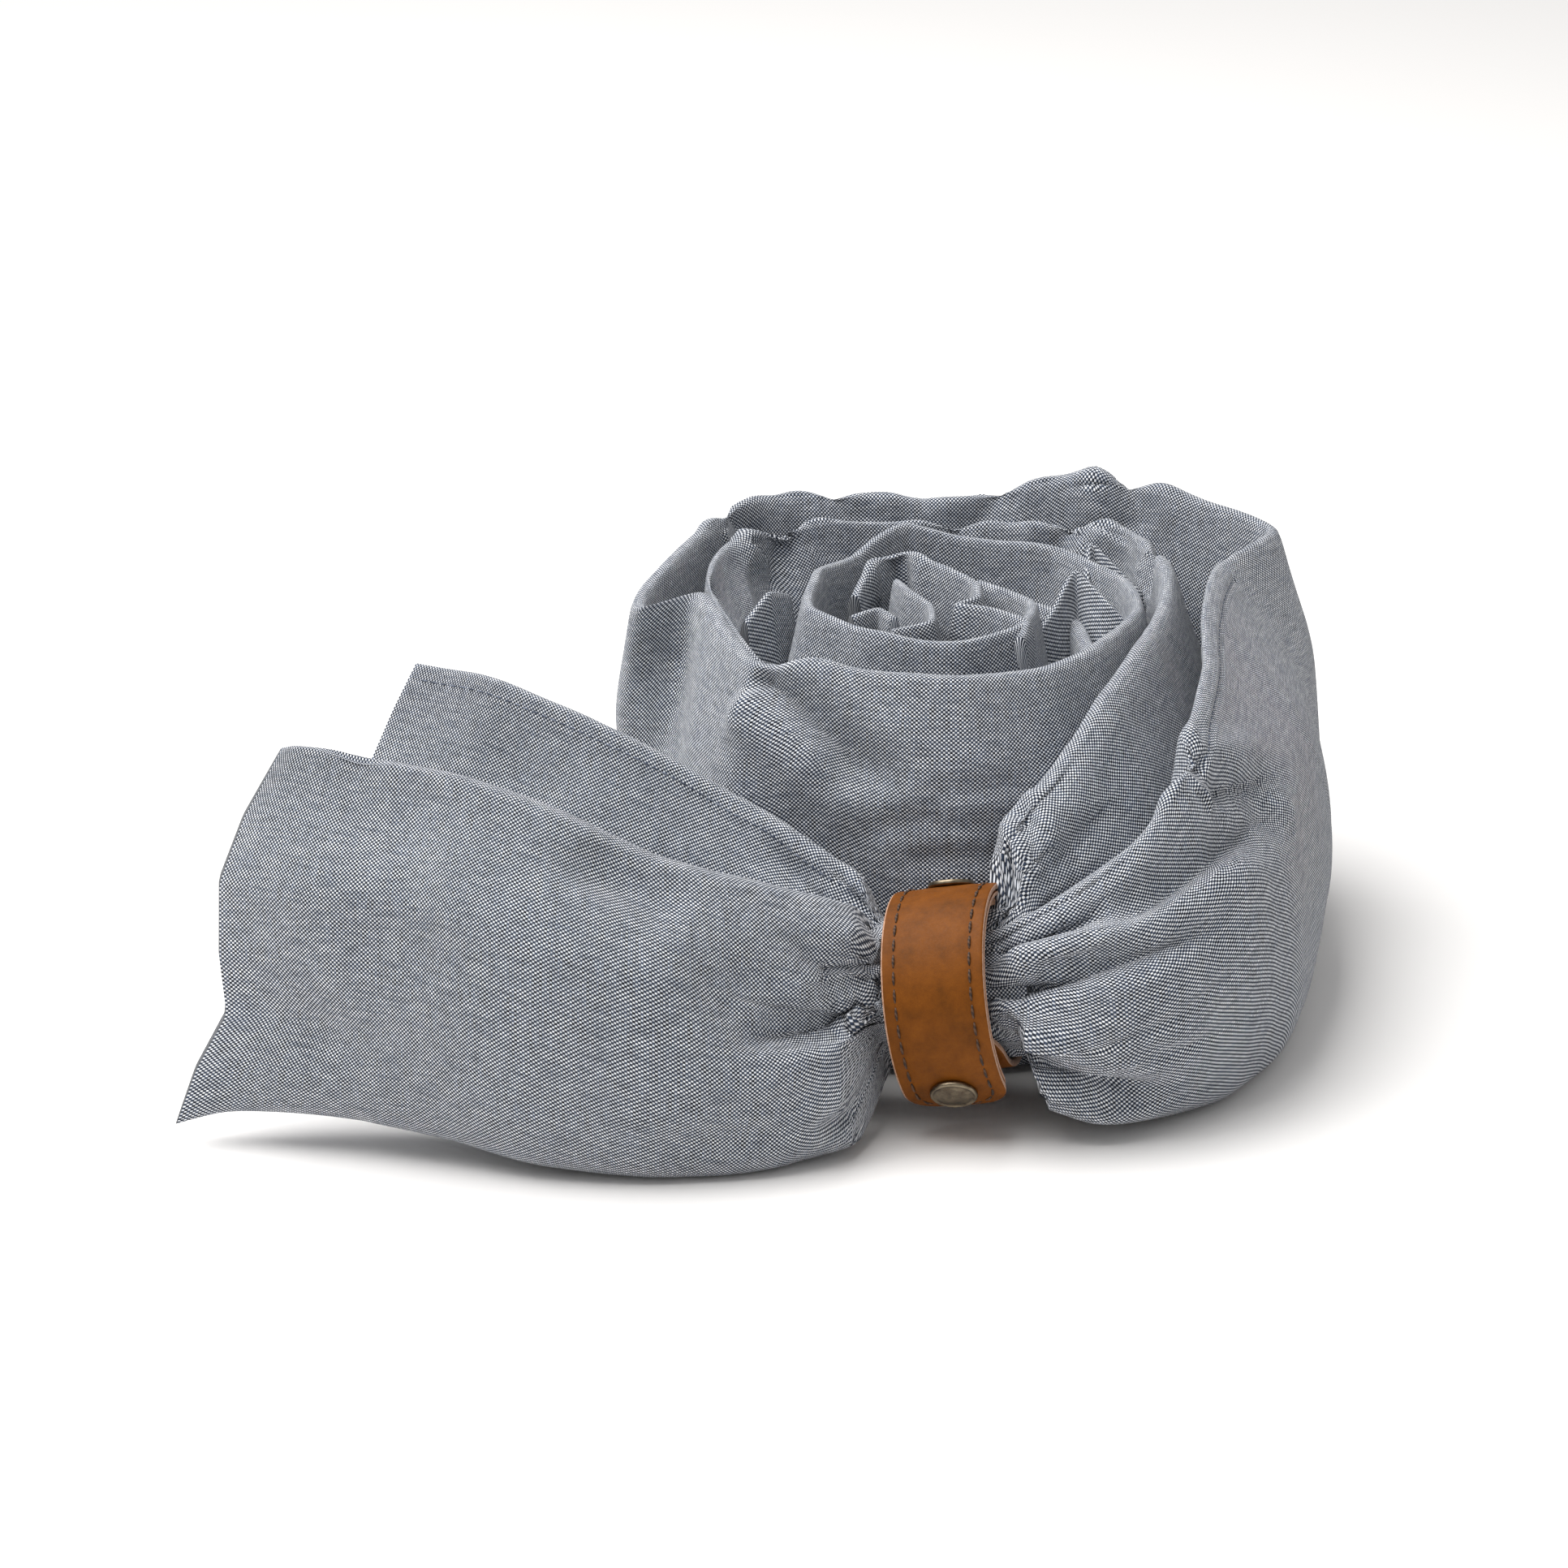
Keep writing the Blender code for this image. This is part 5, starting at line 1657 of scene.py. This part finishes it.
@dataclass
class StrapRing:
    """The leather ring: a front strap of two leathers, a rear strap, a rivet and a snap."""

    finishes: Finishes
    radius: float = 26.5
    width: float = 25.0
    gap: float = 0.4
    outer_leather: float = 1.7
    lining_leather: float = 1.0
    rear_leather: float = 2.0
    snap_at: float = -40.0
    rivet_at: float = 118.0
    hinge_at: float = -8.0
    rear_radii: tuple[float, float] = (23.0, 18.55)  # at the rivet and at the snap
    rear_fade: tuple[float, float] = (165.0, 285.0)
    bend_mm: float = 5.0  # the length of leather that bends when the flap opens
    stitch_pitch: float = 4.3
    stitch_length: float = 3.3
    thread_radius: float = 0.36
    lining_swell: float = 0.35  # fills most of the gap under the face leather
    cap_seat: float = 0.1

    def build(self, ring: RingFrame) -> None:
        """Builds and dresses every piece of the ring.

        Args:
            ring: Where the ring is.
        """
        tip_arc = math.degrees(0.5 * self.width / self.radius)
        tip, head = self.snap_at - tip_arc, self.rivet_at + tip_arc
        face = Strip("strap_face_leather", tip, head, self.radius, self.outer_leather, groove=0.22)
        lining_radius = self.radius - self.outer_leather - self.gap + self.lining_swell
        lining_thickness = self.lining_leather + self.lining_swell
        lining = Strip("strap_lining_leather", tip, head, lining_radius, lining_thickness)
        for strip, nodes in (
            (face, ("strap_outer_leather", "flap_outer_leather")),
            (lining, ("strap_lining", "flap_lining")),
        ):
            obj = strip.build(ring, self.finishes)
            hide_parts(*nodes)
            self.bend(obj, ring)
            LOG.info("%s: %d points", obj.name, len(obj.data.vertices))
        lines, outs = face.seam_lines(ring, tip, head - tip_arc * 0.9)
        sizes = (self.stitch_pitch * MM, self.stitch_length * MM, self.thread_radius * MM)
        seam = dashes("strap_stitches", lines, outs, *sizes, self.finishes.seam)
        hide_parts("strap_thread", "flap_thread")
        self.bend(seam, ring)
        rear_arcs = [math.degrees(0.5 * self.width / r) for r in self.rear_radii]
        rear = Strip(
            "rear_strap_leather", self.rivet_at - rear_arcs[0], 360 + self.snap_at + rear_arcs[1],
            self.rear_radii[0], self.rear_leather, outside_end=self.rear_radii[1], fade=self.rear_fade,
        )
        back = rear.build(ring, self.finishes)
        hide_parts("rear_strap")
        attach(back, BAND)
        for name, node, body, degrees in (
            ("snap_cap_brass", "snap_cap", FLAP, self.snap_at),
            ("rivet_cap_brass", "rivet_cap", BAND, self.rivet_at),
        ):
            seat = ring.on(0.0, degrees, self.radius + self.cap_seat)
            obj = Turned(name, CAP_PROFILE).build(seat, ring.out(degrees), self.finishes.brass)
            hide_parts(node)
            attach(obj, body)
        for node in ("snap_stud", "snap_eyelet", "snap_socket", "rivet_back"):
            obj = frame["nodes"][node]
            obj.data.materials.clear()
            obj.data.materials.append(self.finishes.brass)
        LOG.info("%s, %s and two caps are in place", seam.name, back.name)

    def bend(self, obj: bpy.types.Object, ring: RingFrame) -> None:
        """Bakes a leather piece's placement into its mesh."""
        hinge = ring.on(0.0, self.hinge_at, self.radius)
        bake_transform(obj)


# The studio


@dataclass
class Studio:
    """A white paper sweep under one big soft lamp, and a long lens that looks down on the table."""

    place: Place
    look_at: tuple[float, float, float] = (-42.0, 40.0, 69.0)
    distance: float = 1.5
    down: float = 20.0
    lens: float = 139.75
    sensor: float = 36.0
    sky: float = 0.47
    lamp: float = 32.0
    lamp_size: tuple[float, float] = (1.6, 1.2)
    lamp_at: tuple[float, float, float] = (-0.52, 0.06, 1.22)  # from the point that the lens looks at
    paper_half: float = 30.0

    def build(self) -> None:
        """Builds the camera, the floor and the light."""
        target = self.place.point(*self.look_at)
        a = math.radians(self.down)
        data = bpy.data.cameras.new("camera")
        data.lens, data.sensor_width = self.lens, self.sensor
        data.clip_end = 100.0
        camera = bpy.data.objects.new("camera", data)
        camera.location = target + Vector((0, -math.cos(a), math.sin(a))) * self.distance
        camera.rotation_euler = (math.pi / 2 - a, 0, 0)
        bpy.context.scene.collection.objects.link(camera)
        bpy.context.scene.camera = camera

        mesh = bpy.data.meshes.new("floor")
        half = self.paper_half
        corners = [(-half, -half, 0), (half, -half, 0), (half, half, 0), (-half, half, 0)]
        mesh.from_pydata(corners, [], [(0, 1, 2, 3)])
        mesh.materials.append(SeamlessPaper().build())
        floor = bpy.data.objects.new("floor", mesh)
        bpy.context.scene.collection.objects.link(floor)
        floor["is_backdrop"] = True

        world = bpy.data.worlds.new("studio")
        world.use_nodes = True
        background = world.node_tree.nodes["Background"]
        background.inputs["Color"].default_value = linear("#FFFFFF")
        background.inputs["Strength"].default_value = self.sky
        bpy.context.scene.world = world
        lamp = bpy.data.lights.new("softbox", "AREA")
        lamp.shape, lamp.energy = "RECTANGLE", self.lamp
        lamp.size, lamp.size_y = self.lamp_size
        box = bpy.data.objects.new("softbox", lamp)
        box.location = target + Vector(self.lamp_at)
        box.rotation_euler = (target - box.location).to_track_quat("-Z", "Y").to_euler()
        bpy.context.scene.collection.objects.link(box)
        bpy.context.scene.view_settings.view_transform = "Standard"


def main() -> None:
    """Builds the whole scene round the CAD frame."""
    logging.basicConfig(level=logging.INFO, format="%(name)s: %(message)s")
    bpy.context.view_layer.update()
    low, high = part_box("roll_core")
    middle = (0.5 * (low.x + high.x), 0.5 * (low.y + high.y))
    place = Place((middle[0] - ROLL_MIDDLE[0] * MM, middle[1] - ROLL_MIDDLE[1] * MM, 0.0))
    finishes = Finishes.build()
    strap = StrapRing(finishes)
    ring = RingFrame.from_joints(strap.radius, strap.hinge_at)
    Studio(place).build()
    Wrap(place, finishes).build(ring)
    strap.build(ring)
    low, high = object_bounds()


if __name__ == "__main__":
    main()
